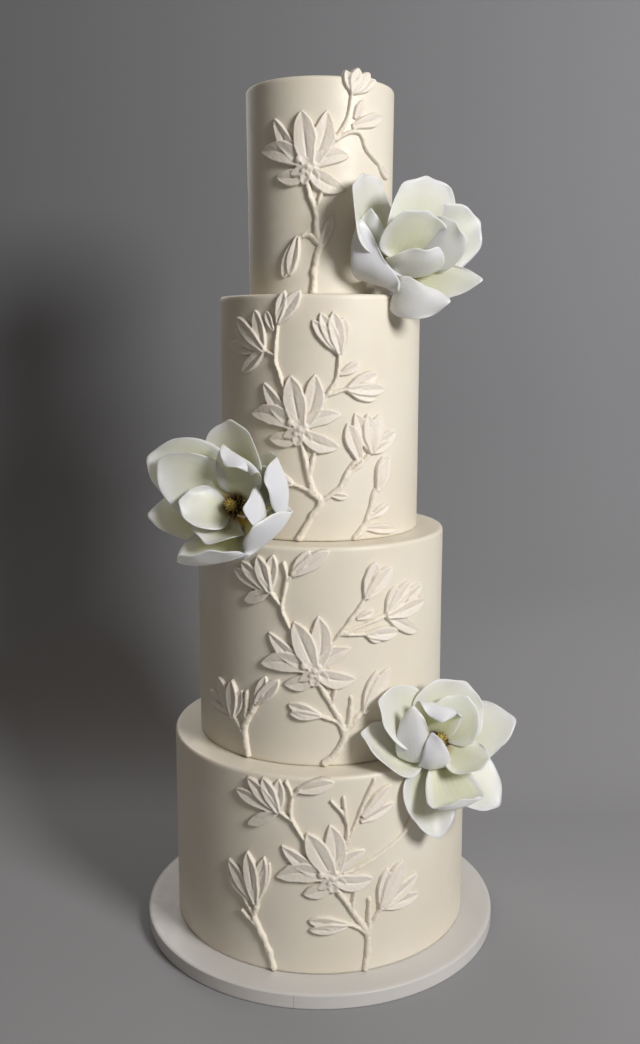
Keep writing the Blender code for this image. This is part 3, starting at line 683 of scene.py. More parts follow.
def sugar_paste_group():
    """Shader group: the soft mottling and hand-smoothed surface that every paste here has."""
    found = bpy.data.node_groups.get("Sugar Paste")
    if found:
        return found
    inputs = (("Colour", "NodeSocketColor", (0.8, 0.8, 0.8, 1.0)),
              ("Shade", "NodeSocketColor", (0.6, 0.6, 0.6, 1.0)),
              ("Mottle", "NodeSocketFloat", 0.3), ("Patch Scale", "NodeSocketFloat", 14.0),
              ("Grain Scale", "NodeSocketFloat", 900.0), ("Roughness", "NodeSocketFloat", 0.5))
    outputs = (("Colour", "NodeSocketColor"), ("Roughness", "NodeSocketFloat"),
               ("Height", "NodeSocketFloat"))
    tree, given, result = new_group("Sugar Paste", "ShaderNodeTree", inputs, outputs)
    place = put(tree, "ShaderNodeTexCoord").outputs["Object"]
    patches = noise(tree, place, given["Patch Scale"], 3.0, 0.5)
    grain = noise(tree, place, given["Grain Scale"], 2.0, 0.6)
    smears = noise(tree, place, calc(tree, "MULTIPLY", given["Patch Scale"], 7.0), 4.0, 0.55, 0.6)
    spread = calc(tree, "MULTIPLY", ranged(tree, patches, 0.35, 0.7), given["Mottle"])
    tree.links.new(mixed(tree, spread, given["Colour"], given["Shade"]), result["Colour"])
    glossiest = calc(tree, "SUBTRACT", given["Roughness"], 0.08)
    duller = calc(tree, "MULTIPLY_ADD", ranged(tree, smears, 0.3, 0.7), 0.16, glossiest)
    tree.links.new(duller, result["Roughness"])
    height = calc(tree, "MULTIPLY_ADD", grain, 0.12, smears)
    tree.links.new(height, result["Height"])
    return tree


def petal_vein_group():
    """Shader group: fine veins that fan from a petal's foot, as a mask and a height, on its UV map."""
    found = bpy.data.node_groups.get("Petal Veins")
    if found:
        return found
    inputs = (("Veins", "NodeSocketFloat", 26.0), ("Reach", "NodeSocketFloat", 0.8))
    outputs = (("Mask", "NodeSocketFloat"), ("Along", "NodeSocketFloat"), ("Across", "NodeSocketFloat"))
    tree, given, result = new_group("Petal Veins", "ShaderNodeTree", inputs, outputs)
    uv = put(tree, "ShaderNodeUVMap", {"uv_map": "petal"}).outputs[0]
    apart = put(tree, "ShaderNodeSeparateXYZ", None, {0: uv})
    across = calc(tree, "MULTIPLY_ADD", apart.outputs["X"], 2.0, -1.0)
    wander = noise(tree, uv, 5.0, 2.0, 0.5)
    phase = calc(tree, "MULTIPLY", across, given["Veins"])
    wave = calc(tree, "SINE", calc(tree, "MULTIPLY_ADD", wander, 5.0, phase))
    fade = ranged(tree, apart.outputs["Y"], 0.0, given["Reach"], 1.0, 0.0)
    tree.links.new(calc(tree, "MULTIPLY", ranged(tree, wave, 0.2, 1.0), fade), result["Mask"])
    tree.links.new(apart.outputs["Y"], result["Along"])
    tree.links.new(calc(tree, "ABSOLUTE", across), result["Across"])
    return tree


def new_material(name):
    """A material with its tree, its Principled shader and nothing in the way."""
    made = bpy.data.materials.new(name)
    made.use_nodes = True
    tree = made.node_tree
    return made, tree, tree.nodes["Principled BSDF"]


def paste(tree, shader, colour, shade, mottle, patch, grain, roughness, depth):
    """Give a shader the sugar paste surface; returns the paste's colour, before anything is laid on it."""
    group = put(tree, "ShaderNodeGroup", {"node_tree": sugar_paste_group()},
                {"Colour": colour, "Shade": shade, "Mottle": mottle, "Patch Scale": patch,
                 "Grain Scale": grain, "Roughness": roughness})
    bump = put(tree, "ShaderNodeBump", None,
               {"Strength": 1.0, "Distance": depth, "Height": group.outputs["Height"]})
    tree.links.new(group.outputs["Roughness"], shader.inputs["Roughness"])
    tree.links.new(bump.outputs[0], shader.inputs["Normal"])
    return group.outputs["Colour"]


def rgba(colour, factor=1.0):
    """A colour with its alpha, brighter or darker by a factor."""
    return (*(channel * factor for channel in colour), 1.0)


def toned(colour, red, green, blue):
    """A colour with its alpha, each channel by its own factor."""
    return colour[0] * red, colour[1] * green, colour[2] * blue, 1.0


def let_light_in(shader, weight, radius):
    """Let light spread under a shader's surface."""
    shader.inputs["Subsurface Weight"].default_value = weight
    shader.inputs["Subsurface Radius"].default_value = radius
    shader.inputs["Subsurface Scale"].default_value = 1.0


def icing_material(settings):
    """Ivory sugar paste, smoothed by hand to a soft satin."""
    made, tree, shader = new_material("icing")
    shade = toned(settings.icing, 0.93, 0.90, 0.85)
    colour = paste(tree, shader, rgba(settings.icing), shade, *ICING_PASTE)
    tree.links.new(colour, shader.inputs["Base Color"])
    let_light_in(shader, *ICING_GLOW)
    return made


def relief_material(settings):
    """Moulded paste, a little rosier than the icing, with painted shade darkening its grooves and the creases
    between its petals.
    """
    made, tree, shader = new_material("relief_paste")
    shade = toned(settings.relief, 0.94, 0.90, 0.86)
    colour = paste(tree, shader, rgba(settings.relief), shade, *RELIEF_PASTE)
    # Painted shade: a mask of the grooves and creases lying under their surroundings, darkened with the shade
    # colour
    depth = put(tree, "ShaderNodeAttribute", {"attribute_name": "hollow"}).outputs["Fac"]
    stalk = put(tree, "ShaderNodeAttribute", {"attribute_name": "stalk"}).outputs["Fac"]
    creamy = mixed(tree, calc(tree, "MULTIPLY", stalk, STALK_TINT), colour, rgba(settings.stalk))
    with_painted_shade = mixed(tree, calc(tree, "MULTIPLY", depth, GROOVE_SHADE_SHARE), creamy, rgba(settings.hollow))
    tree.links.new(with_painted_shade, shader.inputs["Base Color"])
    let_light_in(shader, *RELIEF_GLOW)
    return made


def board_material(settings):
    """White paste over the drum board, cooler than the icing."""
    made, tree, shader = new_material("board_white")
    colour = paste(tree, shader, rgba(settings.board), rgba(settings.board, 0.93), *BOARD_PASTE)
    place = put(tree, "ShaderNodeSeparateXYZ", None, {0: put(tree, "ShaderNodeTexCoord").outputs["Object"]})
    beside = calc(tree, "ABSOLUTE", calc(tree, "SUBTRACT", place.outputs["X"], SEAM_AT * MM))
    seam = ranged(tree, beside, SEAM_WIDE[0] * MM, SEAM_WIDE[1] * MM, SEAM_SEEN, 0.0)
    front = calc(tree, "LESS_THAN", place.outputs["Y"], 0.0)
    under = calc(tree, "LESS_THAN", place.outputs["Z"], (TIERS[0][0] - BOARD_ROUND) * MM)
    seen = calc(tree, "MULTIPLY", seam, calc(tree, "MULTIPLY", front, under))
    laid = mixed(tree, seen, colour, rgba(settings.board, SEAM_DARK))
    tree.links.new(laid, shader.inputs["Base Color"])
    return made


def petal_material(settings):
    """White flower paste, dusted yellow-green inside from the foot, the dust also darkening the cup as
    painted shade, finely veined.
    """
    made, tree, shader = new_material("sugar_white")
    colour = paste(tree, shader, rgba(settings.petal), rgba(settings.petal, 0.95), *PETAL_PASTE)
    veins = put(tree, "ShaderNodeGroup", {"node_tree": petal_vein_group()}, VEIN_FANS).outputs
    inside = put(tree, "ShaderNodeAttribute", {"attribute_name": "inside"}).outputs["Fac"]
    # The inside dust is partly painted shade: darkest at the foot, deep in the cup
    foot = ranged(tree, veins["Along"], *DUST_AND_SHADE_ALONG)
    flank = ranged(tree, veins["Across"], *DUST_AND_SHADE_ASIDE)
    rim = ranged(tree, veins["Along"], *DUST_AND_SHADE_END)
    dust_and_shade = calc(tree, "MULTIPLY", calc(tree, "MULTIPLY", inside, foot), calc(tree, "MULTIPLY", flank, rim))
    with_painted_shade = mixed(tree, dust_and_shade, colour, rgba(settings.petal_dust))
    near = calc(tree, "MULTIPLY", ranged(tree, veins["Along"], *FOOT_DUST_ALONG),
                calc(tree, "MULTIPLY_ADD", inside, 0.8, 0.2))
    rusty = mixed(tree, near, with_painted_shade, rgba(settings.foot_dust))
    traced = calc(tree, "MULTIPLY", veins["Mask"], VEIN_TINT)
    lined = mixed(tree, traced, rusty, rgba(settings.petal_dust, 0.8))
    tree.links.new(lined, shader.inputs["Base Color"])
    bump = put(tree, "ShaderNodeBump", None, {**VEIN_BUMP, "Height": veins["Mask"]})
    tree.links.new(shader.inputs["Normal"].links[0].from_socket, bump.inputs["Normal"])
    tree.links.new(bump.outputs[0], shader.inputs["Normal"])
    let_light_in(shader, *PETAL_GLOW)
    return made


def heart_material(name, colour):
    """Dusted paste of a flower's middle."""
    made, tree, shader = new_material(name)
    laid = paste(tree, shader, rgba(colour), rgba(colour, 0.5), *HEART_PASTE)
    tree.links.new(laid, shader.inputs["Base Color"])
    return made


# Meshes

def mesh_piece(name, points, faces, made):
    """An object at the origin with its place in its mesh, points in millimetres."""
    mesh = bpy.data.meshes.new(name)
    mesh.from_pydata(np.asarray(points, dtype=float) * MM, [], faces)
    mesh.materials.append(made)
    mesh.shade_smooth()
    piece = bpy.data.objects.new(name, mesh)
    bpy.context.scene.collection.objects.link(piece)
    return piece


def from_tree(name, tree, values):
    """A plain mesh object of what a geometry tree makes with these input values."""
    carrier = bpy.data.objects.new(name, bpy.data.meshes.new(name))
    bpy.context.scene.collection.objects.link(carrier)
    modifier = carrier.modifiers.new(name, "NODES")
    modifier.node_group = tree
    sockets = {item.name: item.identifier for item in tree.interface.items_tree if item.in_out == "INPUT"}
    for label, value in values.items():
        modifier[sockets[label]] = value
    shaped = carrier.evaluated_get(bpy.context.evaluated_depsgraph_get())
    mesh = bpy.data.meshes.new_from_object(shaped)
    carrier.modifiers.remove(modifier)
    empty = carrier.data
    carrier.data = mesh
    bpy.data.meshes.remove(empty)
    mesh.name = name
    return carrier


def settle(piece, slot, *nodes):
    """Put a piece on the cake's body and hide the nodes that it stands for."""
    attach(piece, BODY)
    if nodes:
        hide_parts(*nodes)


def own_place(tree):
    """The place of each point of the mesh that a tree is working on, as X, Y and Z."""
    place = put(tree, "GeometryNodeInputPosition").outputs[0]
    return put(tree, "ShaderNodeSeparateXYZ", None, {0: place}).outputs


def vector_of(tree, x=0.0, y=0.0, z=0.0):
    """A vector from its three numbers."""
    return put(tree, "ShaderNodeCombineXYZ", None, {0: x, 1: y, 2: z}).outputs[0]


def finished(tree, shape, given, result):
    """End a geometry tree: real instances, smooth faces and the tree's material."""
    real = put(tree, "GeometryNodeRealizeInstances", None, {"Geometry": shape}).outputs[0]
    smooth = put(tree, "GeometryNodeSetShadeSmooth", None, {"Geometry": real}).outputs[0]
    done = put(tree, "GeometryNodeSetMaterial", None,
               {"Geometry": smooth, "Material": given["Material"]}).outputs[0]
    tree.links.new(done, result["Geometry"])
    return tree


def covered_round_tree():
    """Geometry tree: a round, slightly uneven covering with softly rounded edges."""
    inputs = (("Foot Radius", "NodeSocketFloat", 0.1), ("Top Radius", "NodeSocketFloat", 0.1),
              ("Foot", "NodeSocketFloat", 0.0), ("Height", "NodeSocketFloat", 0.1),
              ("Top Round", "NodeSocketFloat", 0.004), ("Foot Round", "NodeSocketFloat", 0.0005),
              ("Waviness", "NodeSocketFloat", 0.0005), ("Seed", "NodeSocketFloat", 0.0),
              ("Sides", "NodeSocketInt", 128), ("Rings", "NodeSocketInt", 60),
              ("Material", "NodeSocketMaterial", None))
    tree, given, result = new_group("Covered Round", "GeometryNodeTree", inputs, SHAPE_ONLY)
    drum = put(tree, "GeometryNodeMeshCylinder", {"fill_type": "TRIANGLE_FAN"},
               {"Vertices": given["Sides"], "Side Segments": given["Rings"], "Fill Segments": given["Rings"],
                "Radius": given["Top Radius"], "Depth": given["Height"]}).outputs["Mesh"]
    apart = own_place(tree)
    level = calc(tree, "MULTIPLY_ADD", given["Height"], 0.5, apart["Z"])
    share = calc(tree, "DIVIDE", level, given["Height"])
    flat = vector_of(tree, apart["X"], apart["Y"])
    reach = put(tree, "ShaderNodeVectorMath", {"operation": "LENGTH"}, {0: flat}).outputs["Value"]
    way = vector_calc(tree, "NORMALIZE", flat)
    narrower = calc(tree, "DIVIDE", given["Foot Radius"], given["Top Radius"])
    taper = ranged(tree, share, 0.0, 1.0, narrower, 1.0)
    wide = calc(tree, "MULTIPLY", reach, taper)
    limit = calc(tree, "MULTIPLY", given["Top Radius"], taper)
    upper = calc(tree, "GREATER_THAN", share, 0.5)
    rounding = put(tree, "ShaderNodeMix", {"data_type": "FLOAT"},
                   {0: upper, 2: given["Foot Round"], 3: given["Top Round"]}).outputs[0]
    core_reach = calc(tree, "MINIMUM", wide, calc(tree, "SUBTRACT", limit, rounding))
    highest = calc(tree, "SUBTRACT", given["Height"], given["Top Round"])
    core_level = calc(tree, "MAXIMUM", calc(tree, "MINIMUM", level, highest), given["Foot Round"])
    place = vector_calc(tree, "ADD", scaled(tree, way, wide), vector_of(tree, z=level))
    core = vector_calc(tree, "ADD", scaled(tree, way, core_reach), vector_of(tree, z=core_level))
    outwards = vector_calc(tree, "NORMALIZE", vector_calc(tree, "SUBTRACT", place, core))
    uneven = put(tree, "ShaderNodeTexNoise", {"noise_dimensions": "4D"},
                 {"Vector": place, "W": given["Seed"], "Scale": UNEVEN_SCALE, "Detail": 2.0,
                  "Roughness": 0.45}).outputs["Fac"]
    swell = calc(tree, "MULTIPLY", calc(tree, "SUBTRACT", uneven, UNEVEN_TOP), given["Waviness"])
    swell = calc(tree, "MULTIPLY", swell, ranged(tree, level, 0.0, UNEVEN_FROM * MM))
    rounded = vector_calc(tree, "ADD", core, scaled(tree, outwards, calc(tree, "ADD", rounding, swell)))
    lifted = vector_calc(tree, "ADD", rounded, vector_of(tree, z=given["Foot"]))
    moved = put(tree, "GeometryNodeSetPosition", None, {"Geometry": drum, "Position": lifted}).outputs[0]
    return finished(tree, moved, given, result)


# Relief

def smooth_path(route, steps):
    """Points of a smooth curve through the route's places, steps to each stretch."""
    places = [Vector(place) for place in route]
    padded = [places[0] * 2 - places[1]] + places + [places[-1] * 2 - places[-2]]
    path = []
    for index in range(1, len(padded) - 2):
        before, start, end, after = padded[index - 1:index + 3]
        for step in range(steps):
            share = step / steps
            bend = 2 * before - 5 * start + 4 * end - after
            turn = 3 * start - before - 3 * end + after
            path.append(start + ((end - before) * share + bend * share ** 2 + turn * share ** 3) / 2)
    path.append(places[-1])
    return path


def bloom_petals(centre, turn):
    """The open bloom's petals, turned round its centre."""
    petals = []
    for length, bearing, width, lift, bend in BLOOM:
        way = math.radians(bearing + turn)
        ahead = Vector((math.cos(way), math.sin(way)))
        start = Vector(centre) - ahead * BLOOM_LAP
        petals.append((tuple(start), tuple(Vector(centre) + ahead * length), width, lift, bend))
    return petals


def bloom_knobs(centre, turn):
    """The knobs in the open bloom's middle, turned round its centre."""
    way = math.radians(turn)
    knobs = []
    for across, up, radius, high in BLOOM_KNOBS:
        knobs.append((centre[0] + across * math.cos(way) - up * math.sin(way),
                      centre[1] + across * math.sin(way) + up * math.cos(way), radius, high))
    return knobs


def spray_parts(plan):
    """A spray's stems, petals and knobs, its bloom's among them."""
    petals = [(*petal, 0.0) for petal in plan["petals"]]
    knobs = list(plan.get("knobs", ()))
    if "bloom" in plan:
        petals += bloom_petals(*plan["bloom"])
        knobs += bloom_knobs(*plan["bloom"])
    return [list(route) for route in plan["stems"]], petals, knobs


def turned_parts(parts, shift, way):
    """The same spray moved round its tier, and turned left for right where way is -1."""
    def moved(place):
        return shift + way * place[0], place[1]

    stems, petals, knobs = parts
    stems = [[moved(place) for place in route] for route in stems]
    petals = [(moved(base), moved(end), width, lift, bend * way) for base, end, width, lift, bend in petals]
    knobs = [(*moved(knob[:2]), *knob[2:]) for knob in knobs]
    return stems, petals, knobs


def smooth_step(value, low, high):
    """0 below low, 1 above high, and an easy slope between them."""
    share = np.clip((value - low) / (high - low), 0.0, 1.0)
    return share * share * (3 - 2 * share)


def petal_heights(arc, level, petal, rough):
    """Heights of one relief petal over the icing: raised rims, a groove between, steep sides."""
    base, end, width, lift, bend = petal
    along = Vector(end) - Vector(base)
    length = along.length
    ahead = along / length
    across_x, across_y = arc - base[0], level - base[1]
    share = (across_x * ahead.x + across_y * ahead.y) / length
    held = np.clip(share, 0.0, 1.0)
    aside = -across_x * ahead.y + across_y * ahead.x - bend * length * 4 * held * (1 - held)
    half = width / 2 * (1 - held) ** TIP_POWER * (FOOT_WIDTH + SWELL * held ** SWELL_POWER)
    half = half * (1 + OUTLINE_ROUGH * rough)
    beyond = np.maximum(np.abs(aside) - half + EDGE_IN, 0.0)
    past = np.abs(share - held) * length
    gone = np.hypot(beyond, past)
    q = np.clip(np.abs(aside) / np.maximum(half, HALF_LEAST), 0.0, 1.0)
    rise = lift * (1 - LIFT_FADE * held)
    fold = RIM_STEP * (1 - smooth_step(q, RIM_FROM, RIM_TO)) + FOLD_DEEP * np.maximum(1 - q / RIM_FROM, 0.0)
    fade = 1 - smooth_step(held, *GROOVE_FADE)
    groove = GROOVE_DEEP * np.exp(-(aside / GROOVE_WIDE) ** 2) * fade
    fan = 1 - smooth_step(held, *VEIN_FADE)
    veins = sum(np.exp(-((np.abs(aside) - reach * half) / VEIN_WIDE) ** 2) for reach in VEINS_AT)
    top = RIM_HIGH + rise - TIP_DROP * held ** 3
    inner = top - fold - groove - VEIN_DEEP * veins * fan
    return np.where(gone > 0, top - EDGE_SLOPE * gone, inner)


def stem_heights(arc, level, route, share_wide, rough):
    """Heights of one relief stem over the icing: a knobbly half-round."""
    path = [(place.x, place.y) for place in smooth_path([(*place, 0.0) for place in route], 3)]
    near = np.full(arc.shape, 1e6)
    for start, end in zip(path, path[1:]):
        run_x, run_y = end[0] - start[0], end[1] - start[1]
        size = run_x * run_x + run_y * run_y
        share = np.clip(((arc - start[0]) * run_x + (level - start[1]) * run_y) / size, 0.0, 1.0)
        near = np.minimum(near, np.hypot(arc - start[0] - share * run_x, level - start[1] - share * run_y))
    finer = 1 - STEM_TAPER * smooth_step(level, *STEM_FINE)
    wide = STEM_WIDE * share_wide * finer * (1 + STEM_ROUGH * rough)
    inside = STEM_HIGH * np.sqrt(np.clip(1 - (near / wide) ** 2, 0.0, 1.0)) + STEM_LUMPS * rough
    return np.where(near < wide, inside, -EDGE_SLOPE * (near - wide))


def knob_heights(arc, level, knob):
    """Heights of one round knob over the icing."""
    across, up, radius, high = knob
    near = np.hypot(arc - across, level - up)
    dome = high - radius + radius * np.sqrt(np.clip(1 - (near / radius) ** 2, 0.0, 1.0))
    return np.where(near < radius, dome, high - radius - EDGE_SLOPE * (near - radius))


def soft_noise(shape, cell, size, seed):
    """Smooth noise from -1 to 1 on a grid, its lumps about size millimetres wide."""
    rng = np.random.default_rng(seed)
    step = max(int(size / cell), 1)
    coarse = rng.uniform(-1, 1, (shape[0] // step + 3, shape[1] // step + 3))
    rows = np.arange(shape[0]) / step
    columns = np.arange(shape[1]) / step
    r, c = rows.astype(int), columns.astype(int)
    fr, fc = rows - r, columns - c
    fr, fc = (fr * fr * (3 - 2 * fr))[:, None], (fc * fc * (3 - 2 * fc))[None, :]
    upper = coarse[np.ix_(r, c)] * (1 - fc) + coarse[np.ix_(r, c + 1)] * fc
    lower = coarse[np.ix_(r + 1, c)] * (1 - fc) + coarse[np.ix_(r + 1, c + 1)] * fc
    return upper * (1 - fr) + lower * fr


def eased(heights):
    """Heights with their creases softened by one pass over the neighbours."""
    for axis in (0, 1):
        heights = heights * 0.5 + (np.roll(heights, 1, axis) + np.roll(heights, -1, axis)) * 0.25
    return heights


def relief_sheet(index, parts, cell, seed):
    """Points, faces and two masks of a spray: a closed sheet, its back sunk in the icing."""
    stems, petals, knobs = parts
    places = [place for route in stems for place in route]
    places += [place for petal in petals for place in petal[:2]]
    low_x, high_x = min(p[0] for p in places) - MARGIN, max(p[0] for p in places) + MARGIN
    low_y = max(min(p[1] for p in places) - MARGIN, SHEET_LOWEST)
    high_y = max(p[1] for p in places) + MARGIN
    arc, level = np.meshgrid(np.arange(low_x, high_x, cell), np.arange(low_y, high_y, cell))
    rough = soft_noise(arc.shape, cell, LUMP_SIZE, seed)
    bark = soft_noise(arc.shape, cell, BARK_SIZE, seed + 1)

    def around(line, values):
        return (line > min(values) - PATCH_REACH) & (line < max(values) + PATCH_REACH)

    def laid(routes, maker):
        heights = np.full(arc.shape, SHEET_SUNK)
        for route, part in routes:
            columns = around(arc[0], [p[0] for p in route])
            rows = around(level[:, 0], [p[1] for p in route])
            patch = np.ix_(rows, columns)
            heights[patch] = np.maximum(heights[patch], maker(arc[patch], level[patch], part, patch))
        return heights

    widths = [1.0] + [BRANCH_WIDE] * len(stems)
    stalks = laid([(route, (route, wide)) for route, wide in zip(stems, widths)],
                  lambda a, b, part, patch: stem_heights(a, b, *part, rough[patch]))
    blades = laid([(petal[:2], petal) for petal in petals],
                  lambda a, b, part, patch: petal_heights(a, b, part, rough[patch]))
    beads = laid([((knob[:2],), knob) for knob in knobs],
                 lambda a, b, part, patch: knob_heights(a, b, part))
    blades = np.maximum(blades, beads)
    stalky = eased((stalks > blades).astype(float))
    heights = eased(np.maximum(stalks, blades))
    marks = (PETAL_BARK + STALK_BARK * stalky) * bark
    heights = heights + np.where(heights > BARK_FROM, marks, 0.0)
    # Painted shade: points lying under their blurred surroundings, in grooves and between petals, get a mask
    # that darkens them
    blurred = heights
    for _ in range(BLUR_PASSES):
        blurred = eased(blurred)
    hollow = np.clip((blurred - heights - GROOVE_SHADE_FROM) * GROOVE_SHADE_GAIN, 0.0, 1.0)
    kept = heights > SHEET_KEPT
    cells = kept[:-1, :-1] & kept[1:, :-1] & kept[:-1, 1:] & kept[1:, 1:]
    return sheet_mesh(index, arc, level, heights, {"hollow": hollow, "stalk": stalky}, cells)


def sheet_mesh(index, arc, level, heights, masks, cells):
    """A closed mesh of the grid's kept cells: front, back and the walls between them."""
    rows, columns = arc.shape
    number = np.arange(rows * columns).reshape(rows, columns)
    a, b = number[:-1, :-1][cells], number[:-1, 1:][cells]
    c, d = number[1:, 1:][cells], number[1:, :-1][cells]
    back = rows * columns
    faces = [np.stack((a, b, c, d), axis=1), np.stack((d, c, b, a), axis=1) + back]
    padded = np.pad(cells, 1)
    for shift, start, end in (((0, 1), (0, 0), (0, 1)), ((1, 2), (0, 1), (1, 1)),
                              ((2, 1), (1, 1), (1, 0)), ((1, 0), (1, 0), (0, 0))):
        beside = padded[shift[0]:shift[0] + rows - 1, shift[1]:shift[1] + columns - 1]
        edge = cells & ~beside
        first = number[start[0]:rows - 1 + start[0], start[1]:columns - 1 + start[1]][edge]
        second = number[end[0]:rows - 1 + end[0], end[1]:columns - 1 + end[1]][edge]
        faces.append(np.stack((second, first, first + back, second + back), axis=1))
    faces = np.concatenate(faces)
    front = on_tier(index, arc, level, heights).reshape(-1, 3)
    behind = on_tier(index, arc, level, np.full(arc.shape, SHEET_SUNK)).reshape(-1, 3)
    used, faces = np.unique(faces, return_inverse=True)
    faces = faces.reshape(-1, 4)
    points = np.concatenate((front, behind))[used]
    masks = {key: np.concatenate((mask.reshape(-1), np.zeros(back)))[used] for key, mask in masks.items()}
    return points, faces, masks


def relief_piece(name, index, parts, cell, seed, made):
    """One spray in relief as an object."""
    points, faces, masks = relief_sheet(index, parts, cell, seed)
    piece = mesh_piece(name, points, faces.tolist(), made)
    for key, values in masks.items():
        attribute = piece.data.attributes.new(key, "FLOAT", "POINT")
        attribute.data.foreach_set("value", values.astype(np.float32))
    return piece


# Sugar magnolias

def seen_frame(turn, tip):
    """The three directions right, up and out of a flower, from its turn about Z and its tip upwards."""
    turn, tip = math.radians(turn), math.radians(tip)
    right = Vector((math.cos(turn), math.sin(turn), 0.0))
    level = Vector((math.sin(turn), -math.cos(turn), 0.0))
    out = level * math.cos(tip) + Vector((0, 0, 1)) * math.sin(tip)
    return right, out.cross(right), out


def spread(share, width):
    """Half of a sugar petal's width at a share of its length: narrow claw, full middle, rounded end."""
    if share < PETAL_FULL_AT:
        grown = math.sin(math.pi / 2 * share / PETAL_FULL_AT) ** PETAL_SWELL
        return width / 2 * (PETAL_CLAW + (1 - PETAL_CLAW) * grown)
    past = (share - PETAL_FULL_AT) / (1 - PETAL_FULL_AT)
    return width / 2 * (1 - (1 - PETAL_END) * past ** 2)


def along_path(path, share):
    """The point at a share of an evenly stepped path."""
    place = share * (len(path) - 1)
    low = min(int(place), len(path) - 2)
    return path[low].lerp(path[low + 1], place - low)


def petal_sheet(axis, spec, level, rows, columns, seed):
    """The middle surface of one sugar petal as rows of points, in the flower's own directions."""
    route, width, side, cup, point = spec
    first = Vector(route[0])
    radial = (first - axis * first.dot(axis)).normalized()
    base = radial * BASE_RADIUS + axis * level
    path = smooth_path([base] + [Vector(place) for place in route], ROUTE_STEPS)
    side = Vector(side) if side else (first - base).cross(axis)
    rng = np.random.default_rng(seed)
    phase = rng.uniform(0, 2 * math.pi, 4)
    ruffle = rng.uniform(*RUFFLE)
    tip_aside = rng.uniform(-TIP_ASIDE, TIP_ASIDE)
    flick = rng.uniform(-TIP_FLICK, TIP_FLICK)
    sheet = []
    for step in range(rows + 1):
        share = step / rows
        row = []
        for column in range(columns + 1):
            across = 2 * column / columns - 1
            off = abs(across - tip_aside * (1 - across ** 2))
            shorter = point * off ** 2 + TIP_POINT * (1 - math.exp(-(off / TIP_WIDE) ** 2))
            reach = share * (1 - shorter - SHOULDER * across ** 8)
            after = along_path(path, min(reach + LOOK_AHEAD, 1))
            before = along_path(path, max(reach - LOOK_AHEAD, 0))
            ahead = (after - before).normalized()
            aside = (side - ahead * side.dot(ahead)).normalized()
            inward = aside.cross(ahead)
            half = spread(share, width)
            turn = CUP_GAIN * cup * (1 - CUP_EASING * share)
            bow = 2 * half / turn
            swell = math.sin(across * SWELL_WAVES[0] + phase[0]) * math.sin(share * SWELL_WAVES[1] + phase[1])
            edge = math.sin(share * EDGE_WAVES[0] + phase[2] + EDGE_WAVES[1] * across) * abs(across) ** 3
            brim = math.sin(across * BRIM_WAVES + phase[3]) * share ** 8
            ruffled = ruffle * (swell * SWELL_HIGH * share + edge * EDGE_WAVE * share + brim * EDGE_WAVE)
            tip = flick * max(share - FLICK_FROM, 0) / (1 - FLICK_FROM) * (1 - across ** 2)
            spot = along_path(path, reach)
            spot = spot + aside * bow * math.sin(across * turn / 2)
            spot = spot + inward * (bow * (1 - math.cos(across * turn / 2)) + ruffled + tip)
            row.append(spot)
        sheet.append(row)
    return sheet


def thicken(sheet, thick):
    """A closed solid round a sheet of points, thinner towards its edges."""
    rows, columns = len(sheet), len(sheet[0])
    points = []
    for face_side in (1, -1):
        for row in range(rows):
            for column in range(columns):
                ahead = sheet[min(row + 1, rows - 1)][column] - sheet[max(row - 1, 0)][column]
                aside = sheet[row][min(column + 1, columns - 1)] - sheet[row][max(column - 1, 0)]
                edge = max(abs(2 * column / (columns - 1) - 1), row / (rows - 1)) ** 4
                half = thick / 2 * (1 - EDGE_THIN * edge) * face_side
                points.append(sheet[row][column] + aside.cross(ahead).normalized() * half)
    faces = []
    back = rows * columns
    for row in range(rows - 1):
        for column in range(columns - 1):
            corner = row * columns + column
            square = (corner, corner + 1, corner + columns + 1, corner + columns)
            faces.append(square)
            faces.append(tuple(spot + back for spot in reversed(square)))
    rim = list(range(columns))
    rim += [row * columns + columns - 1 for row in range(1, rows)]
    rim += [(rows - 1) * columns + column for column in range(columns - 2, -1, -1)]
    rim += [row * columns for row in range(rows - 2, 0, -1)]
    for step, spot in enumerate(rim):
        following = rim[(step + 1) % len(rim)]
        faces.append((following, spot, spot + back, following + back))
    return points, faces


def sugar_petal(name, sheet, thick, made):
    """One sugar petal as an object, with its UV map and its inner face marked."""
    points, faces = thicken(sheet, thick)
    piece = mesh_piece(name, points, faces, made)
    rows, columns = len(sheet), len(sheet[0])
    spots = np.arange(2 * rows * columns) % (rows * columns)
    place = np.stack((spots % columns / (columns - 1), spots // columns / (rows - 1)), axis=1)
    corners = np.empty(len(piece.data.loops), dtype=np.int32)
    piece.data.loops.foreach_get("vertex_index", corners)
    layer = piece.data.uv_layers.new(name="petal")
    layer.data.foreach_set("uv", place[corners].astype(np.float32).reshape(-1))
    inside = piece.data.attributes.new("inside", "FLOAT", "POINT")
    inside.data.foreach_set("value", (np.arange(2 * rows * columns) < rows * columns).astype(np.float32))
    return piece


def flower_places(plan):
    """A flower's heart, its seen directions and its axis in the world's directions."""
    directions = seen_frame(plan["turn"], plan["tip"])
    axis = Vector(plan["axis"]).normalized()
    ahead = directions[0] * axis.x + directions[1] * axis.y + directions[2] * axis.z
    return Vector(plan["heart"]), directions, axis, ahead


